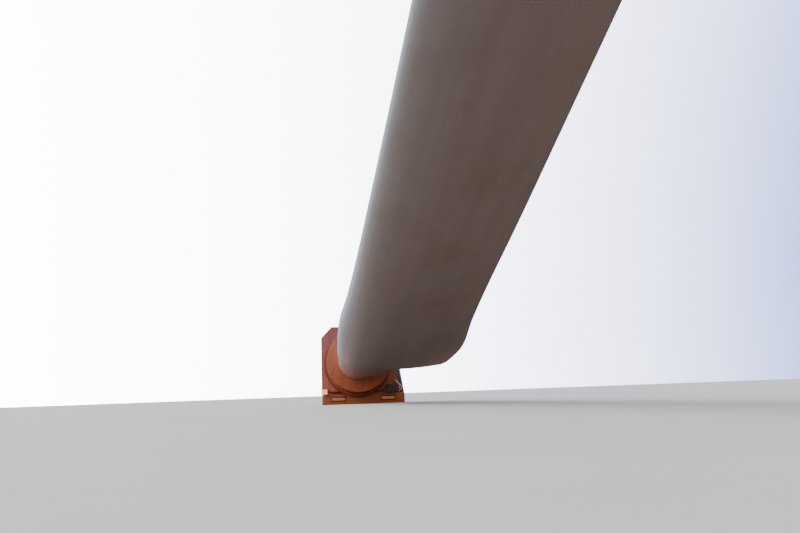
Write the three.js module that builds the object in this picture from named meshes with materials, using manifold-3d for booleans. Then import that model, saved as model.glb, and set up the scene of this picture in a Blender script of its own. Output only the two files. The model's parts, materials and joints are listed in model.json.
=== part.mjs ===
// Wind turbine blade held at its root by a lifting and turning root holder.
// Millimetres, +Z up. The blade points towards -Y and rises with the holder's tilt.
// The origin is on the underside of the holder's rear beam, below the blade's axis.

import * as THREE from 'three';
import { mergeVertices } from 'three/addons/utils/BufferGeometryUtils.js';
import Module from 'manifold-3d';

const wasm = await Module();
wasm.setup();

// Driving dimensions
const SEAT = 0.3;                  // gap left between pieces that touch
const PIN_CLEARANCE = 0.6;         // radial clearance of a pin or rod in its bore
const SIDE_CLEARANCE = 6;          // gap beside an arm, eye or lug that swings

const TILT_DEG = 12;               // rise of the blade's axis in the photographed pose
const FACE_CENTRE = [-620, 1620];  // Y and Z of the root flange's centre at that tilt
const PIVOT = [200, 1060];         // Y and Z of the lifting pivot

const BLADE_LENGTH = 36000;
const TIP_LENGTH = 800;            // separate tip piece
const ROOT_RADIUS = 752;
const COLLAR_RADIUS = 762;
const COLLAR_LENGTH = 300;
const ROOT_WALL = 60;
const SHELL_WALL_ROOT = 45;
const SHELL_WALL_TIP = 18;

const FLANGE_RADIUS = 1205;
const FLANGE_THICKNESS = 60;
const DRUM_RADIUS = 1180;
const DRUM_WALL = 40;
const DRUM_DEPTH = 500;            // flange, wall and back ring together
const BACK_RING_RADIUS = 1280;
const BACK_RING_BORE = 780;
const BACK_RING_THICKNESS = 60;

const BEARING_SPLIT = 900;         // radius between the bearing's two rings
const BEARING_OUTER = 1000;
const BEARING_HEIGHT = 80;
const BEARING_LIFT = 5;            // free space above and below each turning ring
const BEARING_CLEARANCE = 0.9;     // radial, between the corners of the two rings
const BEARING_SEGMENTS = 96;

const PLATE_LEFT = -1380;
const PLATE_RIGHT = 1540;
const PLATE_TOP = 1545;
const PLATE_BOTTOM = -1030;
const PLATE_CHAMFER = [400, 440];  // along X and along Z
const PLATE_THICKNESS = 40;
const CHANNEL_DEPTH = 100;
const CHANNEL_WIDTH = 120;
const BOTTOM_CHANNEL_WIDTH = 45;     // stays below the feet of the lift lugs
const CROSS_RIB_Z = 800;           // middle of the rib above the cover
const COVER_RADIUS = 420;          // service cover on the plate's back
const COVER_RISE = 70;
const DRIVE_POINT = [780, 320];    // X and Z of the motors that turn the drum
const DRIVE_FLANGE = [110, 40];    // radius and length of a motor's three steps
const DRIVE_GEAR = [85, 190];
const DRIVE_MOTOR = [60, 100];

const ARM_X = 1000;
const ARM_THICKNESS = 80;
const PIVOT_PIN_RADIUS = 80;
const PIVOT_BOSS_RADIUS = 145;

const CYLINDER_X = 620;
const LUG_POINT = [900, -850];     // along the axis and across it, from the flange's centre
const BARREL_PIVOT = [1950, 260];  // Y and Z of the lift cylinder's lower pin
const EYE_RADIUS = 110;
const EYE_THICKNESS = 120;
const CYLINDER_PIN_RADIUS = 50;
const BARREL_RADIUS = 125;
const BARREL_LENGTH = 1420;
const ROD_RADIUS = 70;
const ROD_LENGTH = 1450;
const LUG_PLATE = 40;
const LUG_HALF = 130;              // half height of a lug's cheek, and its outer radius
const LUG_FOOT = 30;
const BARREL_NECK = 150;           // from the pin to the full diameter
const ROD_NECK = 175;

const BEAM_LEFT = -1370;
const BEAM_RIGHT = 1800;
const BEAM_HEIGHT = 390;
const BEAM_DEPTH = 300;
const BEAM_WALL = 14;
const SILL = { y: [100, 130], right: 1600, top: 500, notch: 440, half: 115 };  // on the rear beam
const LONG_BEAM_WIDTH = 300;
const LONG_BEAM_HEIGHT = 280;
const BASE_FRONT = 2450;
const CHEEK_THICKNESS = 50;
const CHEEK_FRONT = 700;           // Y where a pivot cheek meets its foot in front
const BRACKET_FOOT = [160, 780];   // Y where the foot begins and ends
const CROSS_BEAM_HEIGHT = 110;
const CROSS_BEAM_DEPTH = 320;
const FRONT_BEAM_DEPTH = 180;

const VALVE_BOX = { x: [1075, 1500], y: [390, 579.7], z: [-1150, -850] };
const VALVE_BOX_BACK = { y: 535, z: -975 };  // where its back slopes away from the beam
const PIPE_RADIUS = 21;
const PIPE_STARTS = [-1110, -1020];  // Z of the pipes that leave the valve box's side
const PIPE_REACHES = [150, 85];    // how far each pipe swings out beside the box
const PIPE_ENDS = [1500, 1440];    // X where they run into the plate
const PIPE_TOP = -690;

const REAR_LAMP = { width: 530, depth: 32, z: [135, 270] };
const REAR_LAMP_STARTS = [-1020, 890];
const MARKER_LAMP = { x: [-1405, -1178], y: [478, 540, 579.7], z: [-1160, -950, -900] };
const GUSSET = { gap: 12, top: 110, height: 1280, y: [-60, -40], bar: 50, barFront: -80 };

const tilt = THREE.MathUtils.degToRad(TILT_DEG);

// Materials
const paint = (name, color, roughness, metalness) =>
  new THREE.MeshStandardMaterial({ name, color, roughness, metalness });
const gelcoat = paint('gelcoat', 0xd2d3d0, 0.35, 0);
const orangePaint = paint('orange_paint', 0xc2551f, 0.45, 0.2);
const darkSteel = paint('dark_steel', 0x4a4a4c, 0.5, 0.8);
const chrome = paint('chrome', 0xc9ccd0, 0.12, 1);
const amberLens = paint('amber_lens', 0xf08a24, 0.25, 0);
const machinedSteel = paint('machined_steel', 0x8e9094, 0.35, 0.9);

const holder = new THREE.Group();
const tiltFrame = new THREE.Group();
tiltFrame.position.set(0, FACE_CENTRE[0], FACE_CENTRE[1]);
tiltFrame.rotation.x = -tilt;
holder.add(tiltFrame);

function addPiece(parent, name, geometry, material) {
  const mesh = new THREE.Mesh(geometry, material);
  mesh.name = name;
  parent.add(mesh);
  return mesh;
}

// Geometry helpers

function block(x0, x1, y0, y1, z0, z1) {
  const box = new THREE.BoxGeometry(x1 - x0, y1 - y0, z1 - z0);
  return box.translate((x0 + x1) / 2, (y0 + y1) / 2, (z0 + z1) / 2);
}

function outlineShape(points, holes = []) {
  const shape = new THREE.Shape(points.map(([a, b]) => new THREE.Vector2(a, b)));
  for (const { centre, radius, segments = 48 } of holes) {
    const ring = [];
    for (let i = 0; i < segments; i += 1) {
      const angle = (-2 * Math.PI * i) / segments;
      ring.push(new THREE.Vector2(
        centre[0] + radius * Math.cos(angle), centre[1] + radius * Math.sin(angle)));
    }
    shape.holes.push(new THREE.Path(ring));
  }
  return shape;
}

// An outline in Y and Z, given a thickness along X
function sidePlate(points, x0, x1, holes = []) {
  const solid = new THREE.ExtrudeGeometry(outlineShape(points, holes),
    { depth: x1 - x0, bevelEnabled: false, steps: 1 });
  const turn = new THREE.Matrix4().makeBasis(
    new THREE.Vector3(0, 1, 0), new THREE.Vector3(0, 0, 1), new THREE.Vector3(1, 0, 0));
  return solid.applyMatrix4(turn).translate(x0, 0, 0);
}

// An outline in X and Z, given a thickness along Y
function facePlate(points, y0, y1, holes = []) {
  const solid = new THREE.ExtrudeGeometry(outlineShape(points, holes),
    { depth: y1 - y0, bevelEnabled: false, steps: 1 });
  const turn = new THREE.Matrix4().makeBasis(
    new THREE.Vector3(1, 0, 0), new THREE.Vector3(0, 0, 1), new THREE.Vector3(0, -1, 0));
  return solid.applyMatrix4(turn).translate(0, y1, 0);
}

// A solid of revolution about the Y axis, from a profile of radius and Y that is closed
// here on itself
function lathedRing(profile, segments = 64) {
  const points = profile.map(([radius, y]) => new THREE.Vector2(radius, y));
  points.push(points[0].clone());
  return new THREE.LatheGeometry(points, segments);
}

function flatRing(inner, outer, y0, y1, segments = 64) {
  return lathedRing([[inner, y0], [outer, y0], [outer, y1], [inner, y1]], segments);
}

function flatDisc(radius, y0, y1, segments = 64) {
  return flatRing(0, radius, y0, y1, segments);
}

function rodAlongX(radius, x0, x1, y, z, segments = 48) {
  const rod = new THREE.CylinderGeometry(radius, radius, x1 - x0, segments);
  return rod.rotateZ(-Math.PI / 2).translate((x0 + x1) / 2, y, z);
}

function roundedArc(centre, radius, fromDeg, toDeg, steps) {
  const points = [];
  for (let i = 0; i <= steps; i += 1) {
    const angle = THREE.MathUtils.degToRad(fromDeg + ((toDeg - fromDeg) * i) / steps);
    points.push([centre[0] + radius * Math.cos(angle), centre[1] + radius * Math.sin(angle)]);
  }
  return points;
}

function toSolid(geometry) {
  const bare = geometry.clone();
  bare.deleteAttribute('normal');
  bare.deleteAttribute('uv');
  const merged = mergeVertices(bare, 1e-3);
  return new wasm.Manifold(new wasm.Mesh({
    numProp: 3,
    vertProperties: new Float32Array(merged.attributes.position.array),
    triVerts: new Uint32Array(merged.index.array),
  }));
}

function toGeometry(solid) {
  const mesh = solid.getMesh();
  const geometry = new THREE.BufferGeometry();
  geometry.setAttribute('position',
    new THREE.BufferAttribute(new Float32Array(mesh.vertProperties), 3));
  geometry.setIndex(new THREE.BufferAttribute(new Uint32Array(mesh.triVerts), 1));
  geometry.computeVertexNormals();
  return geometry;
}

function fuse(...geometries) {
  return toGeometry(geometries.map(toSolid).reduce((whole, next) => whole.add(next)));
}

function cut(geometry, ...tools) {
  return toGeometry(tools.map(toSolid).reduce((rest, tool) => rest.subtract(tool),
    toSolid(geometry)));
}

// Skins a closed body over loops of equal length, with a flat end at each side
function loft(loops) {
  const count = loops[0].length;
  const positions = loops.flat().flatMap((point) => [point.x, point.y, point.z]);
  const index = [];
  for (let i = 0; i < loops.length - 1; i += 1) {
    for (let j = 0; j < count; j += 1) {
      const a = i * count + j;
      const b = i * count + ((j + 1) % count);
      index.push(a, a + count, b, b, a + count, b + count);
    }
  }
  const last = (loops.length - 1) * count;
  const flat = (loop) => loop.map((point) => new THREE.Vector2(point.x, point.z));
  const clockwise = THREE.ShapeUtils.isClockWise(flat(loops[0]));
  for (const [a, b, c] of THREE.ShapeUtils.triangulateShape(flat(loops[0]), [])) {
    index.push(a, ...(clockwise ? [c, b] : [b, c]));
  }
  for (const [a, b, c] of THREE.ShapeUtils.triangulateShape(flat(loops.at(-1)), [])) {
    index.push(last + a, ...(clockwise ? [last + b, last + c] : [last + c, last + b]));
  }
  const geometry = new THREE.BufferGeometry();
  geometry.setAttribute('position', new THREE.Float32BufferAttribute(positions, 3));
  geometry.setIndex(index);
  return facingOut(geometry);
}

function facingOut(geometry) {
  const position = geometry.attributes.position;
  const index = geometry.index.array;
  const corners = [0, 1, 2].map(() => new THREE.Vector3());
  let volume = 0;
  for (let i = 0; i < index.length; i += 3) {
    corners.forEach((corner, k) => corner.fromBufferAttribute(position, index[i + k]));
    volume += corners[0].dot(corners[1].clone().cross(corners[2]));
  }
  if (volume < 0) {
    for (let i = 0; i < index.length; i += 3) {
      [index[i + 1], index[i + 2]] = [index[i + 2], index[i + 1]];
    }
  }
  geometry.computeVertexNormals();
  return geometry;
}

// Blade

// Distance from the root in metres, then leading edge, trailing edge and thickness
// in metres from the axis, and twist in degrees
const BLADE_STATIONS = [
  [0.30, 0.752, 0.752, 1.504, 14],
  [0.60, 0.79, 1.10, 1.55, 14],
  [1.00, 0.83, 1.60, 1.585, 13.7],
  [1.60, 0.858, 2.25, 1.575, 14.5],
  [2.00, 0.87, 2.81, 1.55, 15.1],
  [2.60, 0.90, 2.995, 1.48, 15.1],
  [4.40, 0.90, 3.12, 1.28, 14.1],
  [6.50, 0.776, 2.936, 1.08, 11.4],
  [9.00, 0.68, 2.777, 0.90, 9],
  [12.0, 0.60, 2.622, 0.72, 6.5],
  [16.0, 0.505, 2.356, 0.55, 4.2],
  [20.0, 0.43, 2.06, 0.42, 2.8],
  [25.0, 0.35, 1.62, 0.31, 1.4],
  [30.0, 0.27, 1.17, 0.21, 0.6],
  [34.0, 0.20, 0.78, 0.13, 0.1],
  [35.2, 0.16, 0.58, 0.09, 0],
  [35.7, 0.10, 0.42, 0.055, 0],
  [36.0, 0.00, 0.18, 0.020, 0],
];
const METRE = 1000;
const ROUND_ROOT_END = 0.3;        // metres, where the section starts to leave the circle
const AIRFOIL_START = 1.8;         // metres, where it has become an airfoil
const CAMBER = 0.018;
const EDGE_ROOT = 32;              // half thickness of the trailing edge near the root
const EDGE_TIP = 4;
const HALF_SEGMENTS = 20;
const SHELL_STATIONS = 28;
const STATION_CROWDING = 1.8;
const TIP_STATIONS = 6;

function stationAt(along) {
  const s = along / METRE;
  const table = BLADE_STATIONS;
  const last = table.length - 1;
  let i = table.findIndex((row) => row[0] > s) - 1;
  if (i < 0) i = s >= table[last][0] ? last - 1 : 0;
  const slope = (k, column) => {
    const from = Math.max(k - 1, 0);
    const to = Math.min(k + 1, last);
    return (table[to][column] - table[from][column]) / (table[to][0] - table[from][0]);
  };
  const span = table[i + 1][0] - table[i][0];
  const t = Math.min(Math.max((s - table[i][0]) / span, 0), 1);
  const value = (column) => {
    const a = table[i][column];
    const b = table[i + 1][column];
    const h = t * t * (3 - 2 * t);
    const bend = t * (1 - t) * span
      * (slope(i, column) * (1 - t) - slope(i + 1, column) * t);
    return a + (b - a) * h + bend;
  };
  const lead = value(1) * METRE;
  const trail = value(2) * METRE;
  const airfoil = THREE.MathUtils.smoothstep(s, ROUND_ROOT_END, AIRFOIL_START);
  return {
    along,
    centre: (trail - lead) / 2,
    half: (trail + lead) / 2,
    thickness: value(3) * METRE,
    twist: THREE.MathUtils.degToRad(value(4)),
    airfoil,
    edge: EDGE_TIP + (EDGE_ROOT - EDGE_TIP) * airfoil * (1 - along / BLADE_LENGTH),
    wall: THREE.MathUtils.lerp(SHELL_WALL_ROOT, SHELL_WALL_TIP, along / BLADE_LENGTH),
  };
}

// Half thickness and camber of a section at an angle: 0 trailing edge, PI leading edge
function sectionHeight(station, angle) {
  const back = (1 + Math.cos(angle)) / 2;
  const foil = 5 * (0.2969 * Math.sqrt(back) - 0.126 * back - 0.3516 * back ** 2
    + 0.2843 * back ** 3 - 0.1036 * back ** 4);
  const round = Math.sin(angle) / 2;
  const rise = station.thickness * THREE.MathUtils.lerp(round, foil, station.airfoil);
  return rise + station.edge * back;
}

function camberHeight(station, x) {
  const back = (x - station.centre + station.half) / (2 * station.half);
  return CAMBER * 8 * station.half * back * (1 - back) * station.airfoil;
}

// Turns a point of the flat section by its twist and puts it at its place on the axis
function placeOnBlade(station, x, z) {
  const lifted = z + camberHeight(station, x);
  const cos = Math.cos(station.twist);
  const sin = Math.sin(station.twist);
  return new THREE.Vector3(x * cos + lifted * sin, -station.along, lifted * cos - x * sin);
}

function halfShellLoop(station, side) {
  const seam = SEAT / 2;
  const loop = [placeOnBlade(station, station.centre + station.half, side * seam)];
  for (let j = 0; j <= HALF_SEGMENTS; j += 1) {
    const angle = (Math.PI * j) / HALF_SEGMENTS;
    const z = Math.max(sectionHeight(station, angle), seam);
    loop.push(placeOnBlade(station, station.centre + station.half * Math.cos(angle), side * z));
  }
  for (let j = HALF_SEGMENTS; j >= 0; j -= 1) {
    const angle = (Math.PI * j) / HALF_SEGMENTS;
    const z = Math.max(sectionHeight(station, angle) - station.wall, seam);
    const reach = (station.half - station.wall) * Math.cos(angle);
    loop.push(placeOnBlade(station, station.centre + reach, side * z));
  }
  return loop;
}

function wholeLoop(station) {
  const loop = [];
  for (const side of [1, -1]) {
    for (let j = 0; j <= HALF_SEGMENTS; j += 1) {
      const step = side > 0 ? j : HALF_SEGMENTS - j;
      if (side < 0 && j === 0) continue;
      const angle = (Math.PI * step) / HALF_SEGMENTS;
      const z = sectionHeight(station, angle);
      const x = station.centre + station.half * Math.cos(angle);
      loop.push(placeOnBlade(station, x, side * z));
    }
  }
  return loop;
}

function bladeShell(side) {
  const start = COLLAR_LENGTH + SEAT;
  const end = BLADE_LENGTH - TIP_LENGTH;
  const loops = [];
  for (let i = 0; i <= SHELL_STATIONS; i += 1) {
    const along = start + (end - start) * (i / SHELL_STATIONS) ** STATION_CROWDING;
    loops.push(halfShellLoop(stationAt(along), side));
  }
  return loft(loops);
}

function bladeTip() {
  const start = BLADE_LENGTH - TIP_LENGTH + SEAT;
  const loops = [];
  for (let i = 0; i <= TIP_STATIONS; i += 1) {
    const along = start + (BLADE_LENGTH - start) * Math.sin((Math.PI / 2) * (i / TIP_STATIONS));
    loops.push(wholeLoop(stationAt(along)));
  }
  return loft(loops);
}

function addBlade() {
  const bevel = COLLAR_RADIUS - ROOT_RADIUS;
  const inner = ROOT_RADIUS - ROOT_WALL;
  addPiece(tiltFrame, 'blade_root_collar', lathedRing([
    [inner, -COLLAR_LENGTH], [ROOT_RADIUS, -COLLAR_LENGTH],
    [COLLAR_RADIUS, -COLLAR_LENGTH + bevel], [COLLAR_RADIUS, -SEAT], [inner, -SEAT],
  ]), gelcoat);
  addPiece(tiltFrame, 'blade_upper_shell', bladeShell(1), gelcoat);
  addPiece(tiltFrame, 'blade_lower_shell', bladeShell(-1), gelcoat);
  addPiece(tiltFrame, 'blade_tip', bladeTip(), gelcoat);
}

// Turning drum that the blade's root is bolted to

function addDrum() {
  const wallEnd = DRUM_DEPTH - BACK_RING_THICKNESS;
  addPiece(tiltFrame, 'root_flange', flatDisc(FLANGE_RADIUS, 0, FLANGE_THICKNESS), orangePaint);
  addPiece(tiltFrame, 'drum_wall',
    flatRing(DRUM_RADIUS - DRUM_WALL, DRUM_RADIUS, FLANGE_THICKNESS + SEAT, wallEnd - SEAT),
    orangePaint);
  addPiece(tiltFrame, 'drum_back_ring',
    flatRing(BACK_RING_BORE, BACK_RING_RADIUS, wallEnd, DRUM_DEPTH), orangePaint);
  addPiece(tiltFrame, 'bearing_inner_ring',
    flatRing(BACK_RING_BORE, BEARING_SPLIT - BEARING_CLEARANCE, DRUM_DEPTH + SEAT,
      DRUM_DEPTH + BEARING_HEIGHT - BEARING_LIFT, BEARING_SEGMENTS), machinedSteel);
}

// Tilting frame

const plateFront = DRUM_DEPTH + BEARING_HEIGHT;
const plateBack = plateFront + PLATE_THICKNESS;
const channelBack = plateBack + CHANNEL_DEPTH;
const alongAxis = (y, z) => (y - FACE_CENTRE[0]) * Math.cos(tilt)
  - (z - FACE_CENTRE[1]) * Math.sin(tilt);
const acrossAxis = (y, z) => (y - FACE_CENTRE[0]) * Math.sin(tilt)
  + (z - FACE_CENTRE[1]) * Math.cos(tilt);
const pivotInFrame = [alongAxis(...PIVOT), acrossAxis(...PIVOT)];

function plateOutline() {
  const [chamfer, drop] = PLATE_CHAMFER;
  return [
    [PLATE_LEFT, PLATE_BOTTOM], [PLATE_RIGHT, PLATE_BOTTOM], [PLATE_RIGHT, PLATE_TOP - drop],
    [PLATE_RIGHT - chamfer, PLATE_TOP], [PLATE_LEFT + chamfer, PLATE_TOP],
    [PLATE_LEFT, PLATE_TOP - drop],
  ];
}

function addFacePlate() {
  addPiece(tiltFrame, 'bearing_outer_ring',
    flatRing(BEARING_SPLIT, BEARING_OUTER, DRUM_DEPTH + BEARING_LIFT, plateFront - SEAT,
      BEARING_SEGMENTS), machinedSteel);
  addPiece(tiltFrame, 'face_plate', facePlate(plateOutline(), plateFront, plateBack),
    orangePaint);
  const seat = plateBack + SEAT;
  addPiece(tiltFrame, 'centre_cover', lathedRing([
    [0, seat], [COVER_RADIUS, seat], [COVER_RADIUS, seat + COVER_RISE / 2],
    [COVER_RADIUS - COVER_RISE, seat + COVER_RISE], [0, seat + COVER_RISE],
  ]), orangePaint);
}

// Upright channels and cross members on the plate's back
function addPlateFrame() {
  const y0 = plateBack + SEAT;
  const [chamfer, drop] = PLATE_CHAMFER;
  const uprights = [
    ['left_edge_channel', PLATE_LEFT, PLATE_LEFT + CHANNEL_WIDTH],
    ['right_edge_channel', PLATE_RIGHT - CHANNEL_WIDTH, PLATE_RIGHT],
  ];
  for (const [name, x0, x1] of uprights) {
    addPiece(tiltFrame, name,
      block(x0, x1, y0, channelBack, PLATE_BOTTOM, PLATE_TOP - drop), orangePaint);
  }
  addPiece(tiltFrame, 'top_channel', block(PLATE_LEFT + chamfer, PLATE_RIGHT - chamfer,
    y0, channelBack, PLATE_TOP - CHANNEL_WIDTH, PLATE_TOP), orangePaint);
  const between = ARM_X - ARM_THICKNESS / 2 - SEAT;
  addPiece(tiltFrame, 'bottom_channel',
    block(-between, between, y0, channelBack, PLATE_BOTTOM, PLATE_BOTTOM + BOTTOM_CHANNEL_WIDTH),
    orangePaint);
  addPiece(tiltFrame, 'cross_rib', block(-between, between, y0, channelBack,
    CROSS_RIB_Z - CHANNEL_WIDTH / 2, CROSS_RIB_Z + CHANNEL_WIDTH / 2), orangePaint);
}

// Arms that carry the plate on the lifting pivot
function addPivotArms() {
  const armTop = PLATE_TOP - 2 * CHANNEL_WIDTH;
  const outline = [
    [plateBack + SEAT, PLATE_BOTTOM], [channelBack, PLATE_BOTTOM],
    ...roundedArc(pivotInFrame, PIVOT_BOSS_RADIUS, -60, 60, 12),
    [channelBack, armTop], [plateBack + SEAT, armTop],
  ];
  for (const [side, sign] of [['left', -1], ['right', 1]]) {
    addPiece(tiltFrame, `${side}_pivot_arm`, sidePlate(outline,
      sign * ARM_X - ARM_THICKNESS / 2, sign * ARM_X + ARM_THICKNESS / 2,
      [{ centre: pivotInFrame, radius: PIVOT_PIN_RADIUS + PIN_CLEARANCE }]), orangePaint);
  }
}

// Lugs that the lift cylinders' rod eyes sit between
function addLiftLugs() {
  const inner = EYE_THICKNESS / 2 + SIDE_CLEARANCE;
  const footBack = plateBack + SEAT + LUG_FOOT;
  const cheek = [
    [footBack - 1, LUG_POINT[1] - LUG_HALF],
    ...roundedArc(LUG_POINT, LUG_HALF, -90, 90, 12),
    [footBack - 1, LUG_POINT[1] + LUG_HALF],
  ];
  const hole = [{ centre: LUG_POINT, radius: CYLINDER_PIN_RADIUS }];
  for (const [side, sign] of [['left', -1], ['right', 1]]) {
    const x = sign * CYLINDER_X;
    addPiece(tiltFrame, `${side}_lift_lugs`, fuse(
      sidePlate(cheek, x - inner - LUG_PLATE, x - inner, hole),
      sidePlate(cheek, x + inner, x + inner + LUG_PLATE, hole),
      block(x - inner - LUG_PLATE, x + inner + LUG_PLATE, plateBack + SEAT, footBack,
        LUG_POINT[1] - LUG_HALF, LUG_POINT[1] + LUG_HALF),
    ), orangePaint);
  }
}

// Hydraulic motors that turn the drum
function addTurnDrives() {
  const profile = [[0, plateBack + SEAT]];
  for (const [radius, length] of [DRIVE_FLANGE, DRIVE_GEAR, DRIVE_MOTOR]) {
    const from = profile.at(-1)[1];
    profile.push([radius, from], [radius, from + length]);
  }
  profile.push([0, profile.at(-1)[1]]);
  for (const [side, sign] of [['left', -1], ['right', 1]]) {
    addPiece(tiltFrame, `${side}_turn_drive`,
      lathedRing(profile, 32).translate(sign * DRIVE_POINT[0], 0, DRIVE_POINT[1]), darkSteel);
  }
}

// Box of hydraulic valves on the plate's front, with two pipes that swing out beside it and run
// into the plate through one flange
function addValveBox() {
  const { x, y, z } = VALVE_BOX;
  addPiece(tiltFrame, 'valve_box', sidePlate([
    [y[0], z[0]], [VALVE_BOX_BACK.y, z[0]], [y[1], VALVE_BOX_BACK.z], [y[1], z[1]], [y[0], z[1]],
  ], ...x), darkSteel);
  const section = new THREE.Shape(roundedArc([0, 0], PIPE_RADIUS, 0, 330, 11)
    .map(([a, b]) => new THREE.Vector2(a, b)));
  const middle = (y[0] + y[1]) / 2;
  const face = x[1] + SEAT;
  const pipes = PIPE_STARTS.map((start, i) => {
    const out = x[1] + PIPE_REACHES[i];
    const end = PIPE_ENDS[i];
    const rise = PIPE_TOP - start;
    const route = new THREE.CatmullRomCurve3([
      [face, middle, start], [face + 2 * PIPE_RADIUS, middle, start],
      [out, middle, start + rise / 4], [out - PIPE_RADIUS, middle, start + rise / 2],
      [end + PIPE_RADIUS, middle + PIPE_RADIUS, PIPE_TOP - rise / 6],
      [end, y[1] - 3 * PIPE_RADIUS, PIPE_TOP], [end, y[1], PIPE_TOP],
    ].map((point) => new THREE.Vector3(...point)));
    return new THREE.ExtrudeGeometry(section, { steps: 20, extrudePath: route });
  });
  const rim = PIPE_RADIUS + SIDE_CLEARANCE;
  const flange = block(PIPE_ENDS[1] - rim, PIPE_ENDS[0] + rim, y[1] - PIPE_RADIUS, y[1],
    PIPE_TOP - rim, PIPE_TOP + rim);
  addPiece(tiltFrame, 'valve_pipes', fuse(...pipes, flange), machinedSteel);
}

// Base frame

const cheekInner = ARM_THICKNESS / 2 + SIDE_CLEARANCE;

function boxTube(x0, x1, y0, y1, z0, z1, wall, along) {
  const outer = block(x0, x1, y0, y1, z0, z1);
  const grow = (axis) => (axis === along ? -1 : wall);
  const inner = block(x0 + grow('x'), x1 - grow('x'), y0 + grow('y'), y1 - grow('y'),
    z0 + grow('z'), z1 - grow('z'));
  return cut(outer, inner);
}

// Upstand that closes the gap below the plate, cut down where the lift lugs come low
function sillOutline() {
  const foot = BEAM_HEIGHT - 1;
  const notch = (x) => [
    [x + SILL.half, SILL.top], [x + SILL.half, SILL.notch],
    [x - SILL.half, SILL.notch], [x - SILL.half, SILL.top],
  ];
  return [
    [BEAM_LEFT, foot], [SILL.right, foot], [SILL.right, SILL.top],
    ...notch(CYLINDER_X), ...notch(-CYLINDER_X), [BEAM_LEFT, SILL.top],
  ];
}

function addBaseBeams() {
  const halfDepth = BEAM_DEPTH / 2;
  addPiece(holder, 'rear_beam', fuse(boxTube(BEAM_LEFT, BEAM_RIGHT, -halfDepth, halfDepth,
    0, BEAM_HEIGHT, BEAM_WALL, 'x'), facePlate(sillOutline(), ...SILL.y)), orangePaint);
  const halfWidth = LONG_BEAM_WIDTH / 2;
  for (const [side, sign] of [['left', -1], ['right', 1]]) {
    const x = sign * ARM_X;
    addPiece(holder, `${side}_long_beam`, boxTube(x - halfWidth, x + halfWidth,
      halfDepth + SEAT, BASE_FRONT, 0, LONG_BEAM_HEIGHT, BEAM_WALL, 'y'), orangePaint);
  }
  const between = ARM_X - halfWidth - SEAT;
  addPiece(holder, 'cylinder_cross_beam', boxTube(-between, between,
    BARREL_PIVOT[0] - CROSS_BEAM_DEPTH / 2, BARREL_PIVOT[0] + CROSS_BEAM_DEPTH / 2, 0,
    CROSS_BEAM_HEIGHT, BEAM_WALL, 'x'), orangePaint);
  addPiece(holder, 'front_cross_beam', boxTube(-between, between,
    BASE_FRONT - FRONT_BEAM_DEPTH, BASE_FRONT, 0, LONG_BEAM_HEIGHT, BEAM_WALL, 'x'), orangePaint);
}

function addPivotBrackets() {
  const foot = LONG_BEAM_HEIGHT + SEAT;
  const back = BRACKET_FOOT[0];
  const cheek = [
    [back, foot + LUG_FOOT - 1], [CHEEK_FRONT, foot + LUG_FOOT - 1],
    ...roundedArc(PIVOT, PIVOT_BOSS_RADIUS, 25, 180, 14), [back, PIVOT[1] / 2],
  ];
  const half = LONG_BEAM_WIDTH / 2;
  const hole = [{ centre: PIVOT, radius: PIVOT_PIN_RADIUS + SEAT }];
  for (const [side, sign] of [['left', -1], ['right', 1]]) {
    const x = sign * ARM_X;
    const inner = x - cheekInner;
    const outer = x + cheekInner;
    addPiece(holder, `${side}_pivot_bracket`, fuse(
      sidePlate(cheek, inner - CHEEK_THICKNESS, inner, hole),
      sidePlate(cheek, outer, outer + CHEEK_THICKNESS, hole),
      block(x - half, x + half, ...BRACKET_FOOT, foot, foot + LUG_FOOT),
    ), orangePaint);
    addPiece(holder, `${side}_pivot_pin`, rodAlongX(PIVOT_PIN_RADIUS,
      inner - CHEEK_THICKNESS - 40, outer + CHEEK_THICKNESS + 40, ...PIVOT), machinedSteel);
  }
}

function addCylinderBrackets() {
  const foot = CROSS_BEAM_HEIGHT + SEAT;
  const footTop = foot + LUG_FOOT - 5;
  const inner = EYE_THICKNESS / 2 + SIDE_CLEARANCE;
  const [y, z] = BARREL_PIVOT;
  const cheek = [
    [y - LUG_HALF, footTop - 1], [y + LUG_HALF, footTop - 1],
    ...roundedArc([y, z], LUG_HALF, 0, 180, 12),
  ];
  const hole = [{ centre: [y, z], radius: CYLINDER_PIN_RADIUS + SEAT }];
  for (const [side, sign] of [['left', -1], ['right', 1]]) {
    const x = sign * CYLINDER_X;
    addPiece(holder, `${side}_cylinder_bracket`, fuse(
      sidePlate(cheek, x - inner - LUG_PLATE, x - inner, hole),
      sidePlate(cheek, x + inner, x + inner + LUG_PLATE, hole),
      block(x - inner - LUG_PLATE, x + inner + LUG_PLATE, y - LUG_HALF, y + LUG_HALF,
        foot, footTop),
    ), orangePaint);
    addPiece(holder, `${side}_cylinder_pin`, rodAlongX(CYLINDER_PIN_RADIUS,
      x - inner - LUG_PLATE - 20, x + inner + LUG_PLATE + 20, y, z, 40), machinedSteel);
  }
}

function addLamps() {
  const face = -BEAM_DEPTH / 2 - SEAT;
  ['left', 'right'].forEach((side, i) => {
    const x = REAR_LAMP_STARTS[i];
    addPiece(holder, `${side}_rear_lamp`, block(x, x + REAR_LAMP.width,
      face - REAR_LAMP.depth, face, ...REAR_LAMP.z), amberLens);
  });
  const { x, y, z } = MARKER_LAMP;
  addPiece(tiltFrame, 'side_marker_lamp', sidePlate([
    [y[0], z[0]], [y[1], z[0]], [y[2], z[1] + SIDE_CLEARANCE], [y[2], z[2]], [y[0], z[1]],
  ], ...x), amberLens);
}

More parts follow.
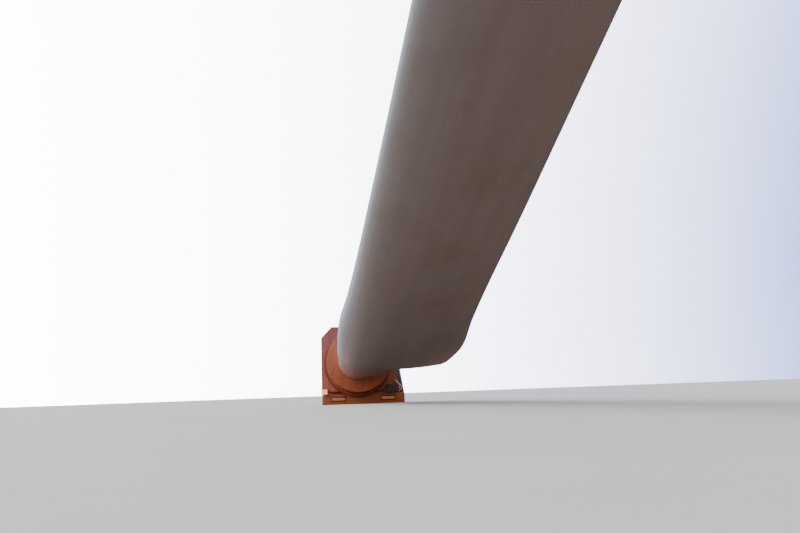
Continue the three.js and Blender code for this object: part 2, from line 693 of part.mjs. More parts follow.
function addEndGusset() {
  const x0 = PLATE_RIGHT + GUSSET.gap;
  const foot = BEAM_HEIGHT + SEAT;
  const sheet = facePlate([
    [x0, foot], [BEAM_RIGHT, foot], [x0 + GUSSET.top, GUSSET.height], [x0, GUSSET.height],
  ], ...GUSSET.y);
  const bar = facePlate([
    [BEAM_RIGHT - GUSSET.bar, foot], [BEAM_RIGHT, foot], [x0 + GUSSET.top, GUSSET.height],
    [x0 + GUSSET.top - GUSSET.bar, GUSSET.height],
  ], GUSSET.barFront, GUSSET.y[0] + 1);
  addPiece(holder, 'right_end_gusset', fuse(sheet, bar), orangePaint);
}

// Lift cylinders

const pointInSpace = (along, across) => [
  FACE_CENTRE[0] + along * Math.cos(tilt) + across * Math.sin(tilt),
  FACE_CENTRE[1] - along * Math.sin(tilt) + across * Math.cos(tilt),
];

function addLiftCylinders() {
  const lug = pointInSpace(...LUG_POINT);
  const run = [lug[0] - BARREL_PIVOT[0], lug[1] - BARREL_PIVOT[1]];
  const pinToPin = Math.hypot(...run);
  const rise = Math.atan2(run[1], -run[0]);
  const bore = ROD_RADIUS + PIN_CLEARANCE + SEAT / 2;
  const half = EYE_THICKNESS / 2;
  const neckRadius = half - 5;
  const boreEnd = -BARREL_NECK - ROD_RADIUS;
  for (const [side, sign] of [['left', -1], ['right', 1]]) {
    const line = new THREE.Group();
    line.position.set(sign * CYLINDER_X, BARREL_PIVOT[0], BARREL_PIVOT[1]);
    line.rotation.x = -rise;
    holder.add(line);
    const hole = rodAlongX(CYLINDER_PIN_RADIUS + PIN_CLEARANCE, -half - 1, half + 1, 0, 0, 40);
    const tube = lathedRing([
      [0, 0], [0, boreEnd], [bore, boreEnd], [bore, -BARREL_LENGTH],
      [BARREL_RADIUS, -BARREL_LENGTH], [BARREL_RADIUS, -BARREL_NECK],
      [neckRadius, -BARREL_NECK], [neckRadius, 0],
    ], 40);
    addPiece(line, `${side}_lift_barrel`,
      cut(fuse(rodAlongX(EYE_RADIUS, -half, half, 0, 0), tube), hole), orangePaint);
    const rod = lathedRing([
      [0, -pinToPin], [neckRadius, -pinToPin], [neckRadius, -pinToPin + ROD_NECK],
      [ROD_RADIUS, -pinToPin + ROD_NECK], [ROD_RADIUS, -pinToPin + ROD_LENGTH],
      [0, -pinToPin + ROD_LENGTH],
    ], 40);
    addPiece(line, `${side}_lift_rod`,
      fuse(rod, rodAlongX(EYE_RADIUS, -half, half, -pinToPin, 0)), chrome);
  }
}

addBlade();
addDrum();
addFacePlate();
addPlateFrame();
addPivotArms();
addLiftLugs();
addTurnDrives();
addValveBox();
addBaseBeams();
addPivotBrackets();
addCylinderBrackets();
addLamps();
addEndGusset();
addLiftCylinders();

export default holder;
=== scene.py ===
"""Wind turbine blade held at its root by a lifting and turning root holder.

The file is laid out as an add-on and run as a script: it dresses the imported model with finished
pieces, materials, a floor, lights and a camera. Metres, +Z up. The blade points towards -Y.
"""
import json
import math

import bmesh
import bpy
from bpy.props import FloatProperty, FloatVectorProperty, IntProperty, PointerProperty
from mathutils import Matrix, Vector

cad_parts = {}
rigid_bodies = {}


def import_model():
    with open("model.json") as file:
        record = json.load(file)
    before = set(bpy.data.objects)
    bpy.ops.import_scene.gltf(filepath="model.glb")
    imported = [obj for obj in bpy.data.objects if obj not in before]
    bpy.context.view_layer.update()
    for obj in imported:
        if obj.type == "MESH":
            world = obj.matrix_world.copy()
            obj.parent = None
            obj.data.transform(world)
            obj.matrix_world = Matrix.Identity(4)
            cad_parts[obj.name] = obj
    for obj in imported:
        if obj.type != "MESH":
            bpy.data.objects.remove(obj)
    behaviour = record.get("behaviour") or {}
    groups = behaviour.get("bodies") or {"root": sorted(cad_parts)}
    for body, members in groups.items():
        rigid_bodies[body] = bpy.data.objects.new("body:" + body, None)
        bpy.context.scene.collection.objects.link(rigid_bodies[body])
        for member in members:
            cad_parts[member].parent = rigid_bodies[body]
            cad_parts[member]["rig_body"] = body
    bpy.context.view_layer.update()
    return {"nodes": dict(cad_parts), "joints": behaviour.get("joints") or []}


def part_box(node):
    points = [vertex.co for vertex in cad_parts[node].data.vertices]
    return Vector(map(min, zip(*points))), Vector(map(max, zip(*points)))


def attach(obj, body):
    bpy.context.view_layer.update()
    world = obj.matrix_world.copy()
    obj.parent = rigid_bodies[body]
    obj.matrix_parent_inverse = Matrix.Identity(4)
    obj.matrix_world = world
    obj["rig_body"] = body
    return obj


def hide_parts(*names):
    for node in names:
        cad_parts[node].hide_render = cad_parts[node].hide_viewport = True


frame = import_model()

bl_info = {
    "name": "Blade Root Holder",
    "version": (1, 0, 0),
    "blender": (4, 5, 0),
    "location": "View3D > Sidebar > Root Holder",
    "description": "Builds a rotor blade in its lifting and turning root holder",
    "category": "Object",
}

# Places of the moving groups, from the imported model's joints
JOINTS = {joint["name"]: joint for joint in frame["joints"]}
TILT = math.asin(Vector(JOINTS["blade_turn"]["axis"]).z)
HELD = Matrix.Translation(JOINTS["blade_turn"]["pos_m"]) @ Matrix.Rotation(-TILT, 4, "X")
LIFT_PIVOT = Vector(JOINTS["lift"]["pos_m"])
SIDES = (("left", -1), ("right", 1))


def cylinder_line(side):
    """Place of a lift cylinder: the origin at its lower pin, -Y along the rod."""
    along = Vector(JOINTS[f"{side}_rod_slide"]["axis"])
    rise = math.atan2(along.z, -along.y)
    pin = JOINTS[f"{side}_barrel_swing"]["pos_m"]
    return Matrix.Translation(pin) @ Matrix.Rotation(-rise, 4, "X")


# Axes in which the pieces of each body are modelled
PLACES = {"base": Matrix.Identity(4), "turner": HELD, "tilt_frame": HELD}
for side_name, _ in SIDES:
    PLACES[f"{side_name}_barrel"] = PLACES[f"{side_name}_rod"] = cylinder_line(side_name)


def box_in(node, place=HELD):
    """Lowest and highest corner of a CAD node along the axes of a turned place."""
    back = place.inverted()
    spots = [back @ vert.co for vert in frame["nodes"][node].data.vertices]
    low = Vector([min(spot[i] for spot in spots) for i in range(3)])
    high = Vector([max(spot[i] for spot in spots) for i in range(3)])
    return low, high


# Settings that a user would change


def color_of(name, description, default):
    return FloatVectorProperty(
        name=name, description=description, default=default, subtype="COLOR", size=3)


def length_of(name, description, default):
    return FloatProperty(name=name, description=description, default=default, unit="LENGTH")


def angle_of(name, description, degrees):
    return FloatProperty(
        name=name, description=description, default=math.radians(degrees), subtype="ANGLE")


def count_of(name, description, default, least):
    return IntProperty(name=name, description=description, default=default, min=least)


class BladeSettings(bpy.types.PropertyGroup):
    rows: count_of("Rows along the blade", "Loops of the skin from root to tip", 170, 40)
    columns: count_of("Columns around the blade", "Faces of the skin around one section", 112, 40)
    tape_start: length_of(
        "Tape start", "Distance from the root where the edge tape begins", 21.0)
    tape_width: length_of(
        "Tape width", "Width of the edge tape to each side of the leading edge", 0.14)
    receptor_radius: length_of("Receptor radius", "Radius of a lightning receptor disc", 0.025)
    gelcoat: color_of("Gelcoat", "Colour of the blade's gelcoat", (0.585, 0.57, 0.56))


class HolderSettings(bpy.types.PropertyGroup):
    paint: color_of("Paint", "Colour of the holder's paint", (0.43, 0.097, 0.022))
    # Painted light: the holder's paint turns lighter towards its right side, where the blade casts
    # its shadow
    right_painted_light: color_of(
        "Sunny paint", "Colour of the holder's paint towards its right side",
        (0.60, 0.140, 0.032))
    # The plate paint's purple tint is a painted reflection of the sky
    plate_paint: color_of(
        "Plate paint", "Colour of the faded paint on the face plate", (0.305, 0.064, 0.053))
    # Painted light: the face plate's paint turns lighter towards its foot, against the shade there
    plate_foot_painted_light: color_of(
        "Low plate paint", "Colour of the face plate's paint near its foot",
        (0.54, 0.142, 0.060))
    drum_paint: color_of(
        "Drum paint", "Colour of the grimy paint behind the root flange", (0.44, 0.085, 0.027))
    beam_paint: color_of(
        "Beam paint", "Colour of the dusty paint on the base frame", (0.44, 0.126, 0.044))
    # Painted light: the base frame's paint turns lighter right of its left end, against the shadow
    # of the blade and drum
    beam_painted_light: color_of(
        "Bright beam paint", "Colour of the base frame's paint past its left end",
        (0.63, 0.157, 0.038))
    edge: length_of("Edge rounding", "Radius on the edges of thick plates", 0.005)
    tube_corner: length_of("Tube corner", "Outer corner radius of the beams' tubes", 0.018)
    flange_bolts: count_of("Flange bolts", "Bolts in the root flange's ring", 60, 12)
    weld: length_of("Weld bead", "Radius of a weld bead", 0.009)


class StageSettings(bpy.types.PropertyGroup):
    floor: color_of("Floor", "Colour of the floor", (0.80, 0.78, 0.76))
    backdrop: color_of(
        "Backdrop", "Colour of the background behind the object", (0.92, 0.95, 1.0))
    camera_place: FloatVectorProperty(
        name="Camera", description="Place of the camera",
        default=(-1.803, -25.182, 0.361), subtype="TRANSLATION", size=3)
    camera_heading: angle_of("Heading", "Turn of the camera from +Y towards +X", 8.184)
    camera_pitch: angle_of("Pitch", "Tilt of the camera above the horizon", 11.151)
    camera_roll: angle_of("Roll", "Turn of the camera about its line of sight", -2.074)
    lens: FloatProperty(
        name="Lens", description="Focal length on a 36 mm sensor, in millimetres", default=28.8)


def settings():
    return bpy.context.scene.root_holder_blade, bpy.context.scene.root_holder_frame


# Solids: each function returns a bmesh of its own, which piece() joins

# Material slots of a piece
MAIN = 0
WORN = 1
FITTING = 2
EXTRA = 3

SHARP_EDGE = math.radians(40)
SHADING_SPLIT = math.radians(35)
SAME_SPOT = 1e-5


def painted(solid, material=FITTING):
    for face in solid.faces:
        face.material_index = material
    return solid


def moved(solid, spot):
    solid.transform(Matrix.Translation(spot))
    return solid


def aimed(solid, spot, direction):
    """Turns a solid's +Z to a direction and moves it to a spot."""
    turn = Vector(direction).to_track_quat("Z", "Y").to_matrix().to_4x4()
    solid.transform(Matrix.Translation(spot) @ turn)
    return solid


def round_edges(solid, width, segments=2):
    """Bevels the sharp edges and gives the new faces the worn edge's material."""
    if width <= 0:
        return solid
    sharp = [edge for edge in solid.edges if edge.calc_face_angle(0) > SHARP_EDGE]
    made = bmesh.ops.bevel(
        solid, geom=sharp, offset=width, offset_type="OFFSET", segments=segments,
        profile=0.5, affect="EDGES", clamp_overlap=True, material=-1)
    for face in made["faces"]:
        face.material_index = WORN
    return solid


def block(low, high, edge):
    solid = bmesh.new()
    low = Vector(low)
    high = Vector(high)
    bmesh.ops.create_cube(solid, size=1)
    bmesh.ops.scale(solid, vec=high - low, verts=solid.verts)
    bmesh.ops.translate(solid, vec=(low + high) / 2, verts=solid.verts)
    return round_edges(solid, edge)


def circle_points(centre, radius, count):
    turns = [2 * math.pi * i / count for i in range(count)]
    return [(centre[0] + radius * math.cos(a), centre[1] + radius * math.sin(a)) for a in turns]


def arc_points(centre, radius, start, end, steps=12):
    turns = [math.radians(start + (end - start) * i / steps) for i in range(steps + 1)]
    return [(centre[0] + radius * math.cos(a), centre[1] + radius * math.sin(a)) for a in turns]


def plate(outline, axis, low, high, edge, holes=()):
    """A flat outline given a thickness along an axis; its points hold the other two places."""
    solid = bmesh.new()
    at = "XYZ".index(axis)
    edges = []
    for loop in [outline, *(circle_points(*hole) for hole in holes)]:
        verts = []
        for a, b in loop:
            spot = [a, b]
            spot.insert(at, low)
            verts.append(solid.verts.new(spot))
        edges += [solid.edges.new(pair) for pair in zip(verts, verts[1:] + verts[:1])]
        if not holes:
            solid.faces.new(verts)
    if holes:
        bmesh.ops.triangle_fill(solid, edges=edges, use_beauty=True, use_dissolve=False)
    made = bmesh.ops.extrude_face_region(solid, geom=list(solid.faces))
    shift = Vector((0, 0, 0))
    shift[at] = high - low
    far = [item for item in made["geom"] if isinstance(item, bmesh.types.BMVert)]
    bmesh.ops.translate(solid, vec=shift, verts=far)
    bmesh.ops.recalc_face_normals(solid, faces=solid.faces)
    return round_edges(solid, edge)


def turned(profile, steps, edge=0.0, axis="Y"):
    """Spins a profile of radius and height about Y or X. One that starts off the axis is closed."""
    solid = bmesh.new()
    verts = [solid.verts.new((radius, y, 0)) for radius, y in profile]
    closed = profile[0][0] > 0
    pairs = list(zip(verts, verts[1:] + (verts[:1] if closed else [])))
    edges = [solid.edges.new(pair) for pair in pairs]
    bmesh.ops.spin(
        solid, geom=verts + edges, cent=(0, 0, 0), axis=(0, 1, 0), angle=2 * math.pi,
        steps=steps, use_merge=True)
    bmesh.ops.remove_doubles(solid, verts=solid.verts, dist=SAME_SPOT)
    bmesh.ops.recalc_face_normals(solid, faces=solid.faces)
    round_edges(solid, edge)
    if axis == "X":
        solid.transform(Matrix.Rotation(-math.pi / 2, 4, "Z"))
    return solid


def ring(inner, outer, low, high, steps, edge=0.0, axis="Y"):
    """A ring of square section, or a disc where inner is 0."""
    return turned([(inner, low), (outer, low), (outer, high), (inner, high)], steps, edge, axis)


def eased(inner, outer, low, high, step=0.006):
    """The profile of a ring or pin whose outer corners are cut off."""
    return [(inner, low), (outer - step, low), (outer, low + step), (outer, high - step),
            (outer - step, high), (inner, high)]


def rod(radius, start, end, segments, chamfer=0.0):
    """A round bar between two points."""
    solid = bmesh.new()
    start = Vector(start)
    run = Vector(end) - start
    bmesh.ops.create_cone(
        solid, cap_ends=True, segments=segments, radius1=radius, radius2=radius, depth=run.length)
    return round_edges(aimed(solid, start + run / 2, run), chamfer, segments=1)


def nut(radius, start, end, segments=6):
    """A chamfered fitting between two points, hexagonal where no other count is given."""
    return painted(rod(radius, start, end, segments, 0.002))


def bead(start, end, radius):
    """A weld bead between two points."""
    return rod(radius, start, end, 8)


def bead_ring(radius, y, width):
    """A weld bead that runs round the Y axis."""
    return turned([(radius + a, y + b) for a, b in circle_points((0, 0), width, 8)], 96)


def bolt(spot, direction, radius, material=FITTING):
    """A hexagon head on a washer."""
    solid = bmesh.new()
    washer = radius * 0.22
    height = radius * 1.15
    for segments, foot, top, low, depth in (
            (16, radius * 1.35, radius * 1.35, 0, washer),
            (6, radius, radius * 0.94, washer, height)):
        bmesh.ops.create_cone(
            solid, cap_ends=True, segments=segments, radius1=foot, radius2=top, depth=depth,
            matrix=Matrix.Translation((0, 0, low + depth / 2)))
    return painted(aimed(solid, spot, direction), material)


def on_circle(radius, y, turn):
    """A point on a circle about the Y axis."""
    return Vector((radius * math.cos(turn), y, radius * math.sin(turn)))


def bolt_ring(radius, y, count, head, towards, material=FITTING):
    """Bolts in a circle about the Y axis."""
    turns = [2 * math.pi * i / count for i in range(count)]
    return [bolt(on_circle(radius, y, a), (0, towards, 0), head, material) for a in turns]


def held_copy(node, edge=0.0):
    """A merged copy of a CAD node along the held axes, its edges rounded where asked."""
    solid = bmesh.new()
    solid.from_mesh(frame["nodes"][node].data)
    bmesh.ops.remove_doubles(solid, verts=solid.verts, dist=SAME_SPOT)
    solid.transform(HELD.inverted())
    painted(solid, MAIN)
    if edge > 0:
        bmesh.ops.dissolve_limit(
            solid, angle_limit=math.radians(1), verts=solid.verts, edges=solid.edges)
    return round_edges(solid, edge)


MATERIALS = {}


def piece(name, solids, coat, body, *replaces, slot="orange_paint"):
    """Joins solids into one finished mesh that rides on a body and replaces CAD nodes."""
    whole = bmesh.new()
    scrap = bpy.data.meshes.new("scrap")
    for solid in solids:
        solid.to_mesh(scrap)
        solid.free()
        whole.from_mesh(scrap)
    bpy.data.meshes.remove(scrap)
    for face in whole.faces:
        face.smooth = True
    whole.transform(PLACES[body])
    mesh = bpy.data.meshes.new(name)
    whole.to_mesh(mesh)
    whole.free()
    mesh.set_sharp_from_angle(angle=SHADING_SPLIT)
    for material in coat:
        mesh.materials.append(MATERIALS[material])
    thing = bpy.data.objects.new(name, mesh)
    bpy.context.scene.collection.objects.link(thing)
    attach(thing, body)
    if replaces:
        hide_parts(*replaces)


# Materials


def fill(node, inputs):
    """Links or sets a node's input sockets, named or numbered."""
    for name, value in inputs.items():
        if isinstance(value, bpy.types.NodeSocket):
            node.id_data.links.new(value, node.inputs[name])
        else:
            node.inputs[name].default_value = value


def wire(tree, kind, inputs=None, **values):
    """Adds a node, sets its values and fills its sockets."""
    made = tree.nodes.new(kind)
    for name, value in values.items():
        setattr(made, name, value)
    fill(made, inputs or {})
    return made


def effect_group(name, inputs, outputs):
    """An empty shader node group with named sockets: (group, its inputs node)."""
    group = bpy.data.node_groups.new(name, "ShaderNodeTree")
    for label, kind, value in inputs:
        made = group.interface.new_socket(name=label, in_out="INPUT", socket_type=kind)
        if value is not None:
            made.default_value = value
    for label in outputs:
        group.interface.new_socket(name=label, in_out="OUTPUT", socket_type="NodeSocketFloat")
    return group, group.nodes.new("NodeGroupInput")


def put_out(group, **results):
    """Links a group's results to its named outputs."""
    end = group.nodes.new("NodeGroupOutput")
    for name, result in results.items():
        group.links.new(result, end.inputs[name])
    return group


def band(tree, value, low, high):
    """A value stretched so that low gives 0 and high gives 1."""
    return wire(tree, "ShaderNodeMapRange",
                {"Value": value, "From Min": low, "From Max": high}).outputs["Result"]


def blend(tree, factor, first, second):
    """Mixes two colours. Sockets 0, 6 and 7 of the node are its factor and its colours."""
    mixed = wire(tree, "ShaderNodeMix", {0: factor, 6: first, 7: second}, data_type="RGBA")
    return mixed.outputs[2]


def math_node(tree, operation, first, second):
    return wire(tree, "ShaderNodeMath", {0: first, 1: second}, operation=operation).outputs[0]


def times(tree, first, second):
    return math_node(tree, "MULTIPLY", first, second)


def noise(tree, place, scale, detail, roughness=0.5):
    return wire(tree, "ShaderNodeTexNoise", {
        "Vector": place, "Scale": scale, "Detail": detail, "Roughness": roughness}).outputs[0]


def stretched(tree, place, scale):
    return wire(tree, "ShaderNodeMapping", {"Vector": place, "Scale": scale}).outputs[0]


def part_of(tree, place, axis):
    return wire(tree, "ShaderNodeSeparateXYZ", {0: place}).outputs[axis]


def weathering_group():
    """Patches, downward runs and fine grain, from a place in metres."""
    group, start = effect_group(
        "Weathering",
        [("Position", "NodeSocketVector", None), ("Patch Size", "NodeSocketFloat", 1.5)],
        ["Patches", "Runs", "Grain"])
    spot = start.outputs["Position"]
    patches = noise(group, spot, start.outputs["Patch Size"], 6.0, 0.62)
    runs = noise(group, stretched(group, spot, (9.0, 9.0, 0.7)), 1.0, 4.0, 0.55)
    return put_out(group, Patches=band(group, patches, 0.38, 0.66),
                   Runs=band(group, runs, 0.42, 0.72), Grain=noise(group, spot, 70.0, 3.0, 0.6))


def chips_group():
    """Where paint has come off: 1 on bare spots."""
    group, start = effect_group(
        "Chips", [("Position", "NodeSocketVector", None), ("Cover", "NodeSocketFloat", 0.5)],
        ["Bare"])
    spots = noise(group, start.outputs["Position"], 11.0, 8.0, 0.7)
    over = math_node(group, "SUBTRACT", spots, start.outputs["Cover"])
    return put_out(group, Bare=band(group, over, 0.0, 0.04))


def span_group():
    """Faint streaks along the blade, its distance from the root and where its belly gets painted
    shade.

    All come from a place in metres.
    """
    group, start = effect_group(
        "Blade Span", [("Position", "NodeSocketVector", None)],
        ["Streaks", "Clouds", "Distance", "Waves", "Belly"])
    back = HELD.inverted()
    level = wire(group, "ShaderNodeMapping", {
        "Vector": start.outputs["Position"], "Location": back.translation,
        "Rotation": back.to_euler()}).outputs[0]
    split = wire(group, "ShaderNodeSeparateXYZ", {0: level})
    distance = times(group, split.outputs["Y"], -1.0)
    # Painted shade: the belly is darkened near the root, on its underside
    belly_shade = band(group, distance, 12.0, 4.0)
    for axis, start_at, full_at in (("X", -0.60, -0.15), ("X", 1.30, 0.60), ("Z", 0.10, -0.25)):
        belly_shade = times(group, belly_shade, band(group, split.outputs[axis], start_at, full_at))
    return put_out(
        group, Distance=distance, Belly=belly_shade, Clouds=noise(group, level, 0.55, 4.0, 0.55),
        Streaks=noise(group, stretched(group, level, (3.2, 0.10, 3.2)), 1.0, 2.0),
        Waves=noise(group, stretched(group, level, (1.6, 0.35, 1.6)), 1.0, 2.0))


def shader_of(name):
    """A new material: (its tree, its Principled shader, object coordinates)."""
    material = bpy.data.materials.new(name)
    material.use_nodes = True
    MATERIALS[name] = material
    tree = material.node_tree
    spot = wire(tree, "ShaderNodeTexCoord").outputs["Object"]
    return tree, tree.nodes["Principled BSDF"], spot


def use_group(tree, group, inputs):
    return wire(tree, "ShaderNodeGroup", inputs, node_tree=group).outputs


def rgba(color, factor=1.0):
    return (color[0] * factor, color[1] * factor, color[2] * factor, 1.0)


def shade(color, *gains):
    """A colour whose three parts are changed by a gain each."""
    return (*(part * gain for part, gain in zip(color, gains)), 1.0)


def bump(tree, height, strength, distance):
    return wire(tree, "ShaderNodeBump",
                {"Height": height, "Strength": strength, "Distance": distance}).outputs[0]


def uneven(tree, grain, level, spread):
    """A roughness that wavers about a level."""
    return math_node(tree, "ADD", times(tree, grain, spread), level - spread / 2)


def gelcoat_material(name, color, span, grime, roughness):
    tree, shader, spot = shader_of(name)
    along = use_group(tree, span, {"Position": spot})
    clouds = along["Clouds"]
    base = blend(tree, band(tree, along["Streaks"], 0.35, 0.7), rgba(color), rgba(color, 0.92))
    base = blend(tree, times(tree, band(tree, clouds, 0.46, 0.78), grime), base,
                 shade(color, 0.72, 0.66, 0.58))
    # Painted shade: the belly near the root is darkened
    base = blend(tree, times(tree, along["Belly"], 0.62), base, rgba(color, 0.60))
    # Painted reflection: an orange-brown tint near the root stands for the orange flange reflected
    # in the gloss
    flange_reflection = band(tree, along["Distance"], 1.1, 0.2)
    base = blend(tree, times(tree, flange_reflection, band(tree, clouds, 0.10, 0.80)), base,
                 shade(color, 0.85, 0.46, 0.32))
    fill(shader, {"Base Color": base, "Roughness": roughness, "Coat Weight": 0.7,
                  "Coat Roughness": 0.30, "Normal": bump(tree, along["Waves"], 0.05, 0.02)})


# Gain and lift of a paint's colour where the sun has faded it
FADED = ((1.12, 1.25, 1.6), (0.02, 0.015, 0.012))
BARELY_FADED = ((1.08, 1.10, 1.15), (0.01, 0.004, 0.002))


def paint_material(name, color, weathering, chips, bare, roughness,
                   metal=(0.15, 0.085, 0.055), fade=FADED, runs=0.45, shift=None):
    """Weathered paint: sun-faded patches, rusty runs and bare spots.

    A shift is a second colour and the axis along which it takes over, from one place to another.
    """
    tree, shader, spot = shader_of(name)
    worn = use_group(tree, weathering, {"Position": spot, "Patch Size": 1.7})
    off = use_group(tree, chips, {"Position": spot, "Cover": bare})["Bare"]
    faded = (*(c * gain + lift for c, gain, lift in zip(color, *fade)), 1.0)
    base = blend(tree, worn["Patches"], rgba(color), faded)
    if shift:
        second, axis, start, end = shift
        along = band(tree, part_of(tree, spot, axis), start, end)
        base = blend(tree, along, base, rgba(second))
    base = blend(tree, times(tree, worn["Runs"], runs), base, rgba(color, 0.50))
    rough = math_node(tree, "ADD", uneven(tree, worn["Grain"], roughness, 0.22),
                      times(tree, off, 0.2))
    height = math_node(tree, "SUBTRACT", times(tree, worn["Grain"], 0.15), off)
    fill(shader, {"Base Color": blend(tree, off, base, (*metal, 1.0)), "Roughness": rough,
                  "Normal": bump(tree, height, 0.35, 0.002)})


def metal_material(name, color, weathering, metallic, roughness, stain,
                   stain_color=(0.10, 0.06, 0.035)):
    tree, shader, spot = shader_of(name)
    worn = use_group(tree, weathering, {"Position": spot, "Patch Size": 9.0})
    base = blend(tree, times(tree, worn["Patches"], stain), rgba(color), (*stain_color, 1.0))
    fill(shader, {"Base Color": base, "Metallic": metallic,
                  "Roughness": uneven(tree, worn["Grain"], roughness, 0.2),
                  "Normal": bump(tree, worn["Grain"], 0.2, 0.001)})


def lens_material(name, color, weathering, glow):
    """A moulded lamp lens with small square cells."""
    tree, shader, spot = shader_of(name)
    cells = wire(tree, "ShaderNodeTexVoronoi", {"Vector": spot, "Scale": 26.0, "Randomness": 0.0},
                 feature="F1", distance="CHEBYCHEV")
    face = band(tree, cells.outputs["Distance"], 0.5, 0.05)
    base = blend(tree, face, rgba(color, 0.45), rgba(color))
    dust = use_group(tree, weathering, {"Position": spot, "Patch Size": 6.0})["Patches"]
    base = blend(tree, times(tree, dust, 0.25), base, rgba(color, 0.55))
    fill(shader, {"Base Color": base, "Emission Color": base, "Emission Strength": glow,
                  "Roughness": 0.22, "Coat Weight": 0.6, "Normal": bump(tree, face, 0.6, 0.004)})


def make_materials():
    blade, holder = settings()
    weathering = weathering_group()
    chips = chips_group()
    span = span_group()
    for name, color, grime, roughness in (
            ("gelcoat", blade.gelcoat, 0.5, 0.28),
            ("edge_tape", (0.50, 0.505, 0.50), 0.3, 0.30),
            ("bond_seam", (0.54, 0.535, 0.51), 0.7, 0.42)):
        gelcoat_material(name, color, span, grime, roughness)

    barely = {"fade": BARELY_FADED}
    # Painted light: the orange paint turns lighter towards the right, against the blade's shadow
    # there
    right_light_shift = {**barely, "shift": (holder.right_painted_light, "X", 0.1, 0.9)}
    # Painted light: the face plate's paint lighter towards its foot
    low = {"shift": (holder.plate_foot_painted_light, "Z", 2.3, 0.7)}
    # Painted light: the base frame's paint lighter right of its left end
    beam_light_shift = {**barely, "runs": 0.28, "shift": (holder.beam_painted_light, "X", -1.2, -0.4)}
    gray = {"metal": (0.16, 0.13, 0.11)}
    pale_gray = {"metal": (0.20, 0.17, 0.15)}
    # The cabinet's paint turns red-brown towards its top
    red_brown_top = {"shift": ((0.17, 0.045, 0.035), "Z", 0.59, 0.66)}
    for name, color, bare, roughness, more in (
            ("orange_paint", holder.paint, 0.70, 0.46, right_light_shift),
            ("orange_paint_worn", holder.paint, 0.58, 0.52, right_light_shift),
            ("plate_paint", holder.plate_paint, 0.70, 0.46, low),
            ("plate_paint_worn", holder.plate_paint, 0.58, 0.52, low),
            ("drum_paint", holder.drum_paint, 0.70, 0.6, barely),
            # Painted shade: dark paint on the back ring's outer rim, at the gap to the plate
            ("gap_shade_rim", (0.22, 0.034, 0.013), 0.72, 0.4, barely),
            ("beam_paint", holder.beam_paint, 0.70, 0.5, beam_light_shift),
            ("beam_paint_worn", holder.beam_paint, 0.58, 0.52, beam_light_shift),
            # Painted shade: the gusset's sheet is a dark plum
            ("gusset_shade_paint", (0.17, 0.075, 0.130), 0.72, 0.5, {}),
            ("gusset_bar_paint", (0.80, 0.70, 0.76), 0.66, 0.5, {}),
            ("lamp_rim", (0.11, 0.022, 0.008), 0.70, 0.5, {}),
            ("cabinet_paint", (0.085, 0.042, 0.038), 0.68, 0.5, {**gray, **red_brown_top}),
            ("cabinet_paint_worn", (0.11, 0.060, 0.052), 0.56, 0.5, {**pale_gray, **red_brown_top}),
            ("charcoal_paint", (0.035, 0.036, 0.04), 0.68, 0.5, gray),
            ("charcoal_paint_worn", (0.05, 0.05, 0.053), 0.52, 0.5, pale_gray)):
        paint_material(name, color, weathering, chips, bare, roughness, **more)

    for name, color, *rest in (
            ("zinc_bolts", (0.42, 0.41, 0.38), 0.9, 0.45, 0.6),
            ("turned_steel", (0.46, 0.46, 0.48), 1.0, 0.32, 0.5, (0.07, 0.05, 0.03)),
            ("hard_chrome", (0.72, 0.73, 0.75), 1.0, 0.16, 0.08),
            ("pale_pipe", (0.85, 0.66, 0.63), 0.0, 0.45, 0.25, (0.50, 0.34, 0.30)),
            ("black_rubber", (0.02, 0.02, 0.021), 0.0, 0.65, 0.2, (0.06, 0.05, 0.045))):
        metal_material(name, color, weathering, *rest)
    lens_material("amber_lens", (0.95, 0.34, 0.12), weathering, 0.20)
    lens_material("marker_lens", (1.0, 0.40, 0.17), weathering, 2.5)


# Materials of a piece, in the order of its slots
BLADE_COAT = ("gelcoat", "bond_seam")
DRUM_COAT = ("drum_paint", "drum_paint", "zinc_bolts")
PLATE_COAT = ("plate_paint", "plate_paint_worn", "zinc_bolts")
BEAM_COAT = ("beam_paint", "beam_paint_worn", "zinc_bolts")
BEARING_COAT = ("turned_steel", "turned_steel", "black_rubber")
PIN_COAT = ("turned_steel", "turned_steel", "zinc_bolts")


# Blade

# Distance from the root, leading edge, trailing edge and thickness in metres, twist in degrees
BLADE_STATIONS = (
    (0.30, 0.752, 0.752, 1.504, 14),
    (0.60, 0.79, 1.10, 1.55, 14),
    (1.00, 0.83, 1.60, 1.585, 13.7),
    (1.60, 0.858, 2.265, 1.575, 14.5),
    (1.80, 0.864, 2.645, 1.565, 14.85),
    (1.95, 0.869, 2.82, 1.553, 15.05),
    (2.15, 0.878, 2.888, 1.535, 15.15),
    (2.60, 0.90, 2.995, 1.48, 15.1),
    (4.40, 0.90, 3.12, 1.28, 14.1),
    (6.50, 0.776, 2.936, 1.08, 11.4),
    (9.00, 0.68, 2.777, 0.90, 9),
    (12.0, 0.60, 2.622, 0.72, 6.5),
    (16.0, 0.505, 2.356, 0.55, 4.2),
    (20.0, 0.43, 2.06, 0.42, 2.8),
    (25.0, 0.35, 1.62, 0.31, 1.4),
    (30.0, 0.27, 1.17, 0.21, 0.6),
    (34.0, 0.20, 0.78, 0.13, 0.1),
    (35.2, 0.16, 0.58, 0.09, 0),
    (35.7, 0.10, 0.42, 0.055, 0),
    (36.0, 0.00, 0.18, 0.020, 0),
)
BLADE_LENGTH = BLADE_STATIONS[-1][0]
TIP_START = BLADE_STATIONS[-3][0]
ROOT_END = BLADE_STATIONS[0][0]
COLLAR_WALL = 0.06
# From here on the section is an airfoil
AIRFOIL_START = 1.8
CAMBER = 0.018
# Half of the blunt trailing edge
EDGE_ROOT = 0.032
EDGE_TIP = 0.004


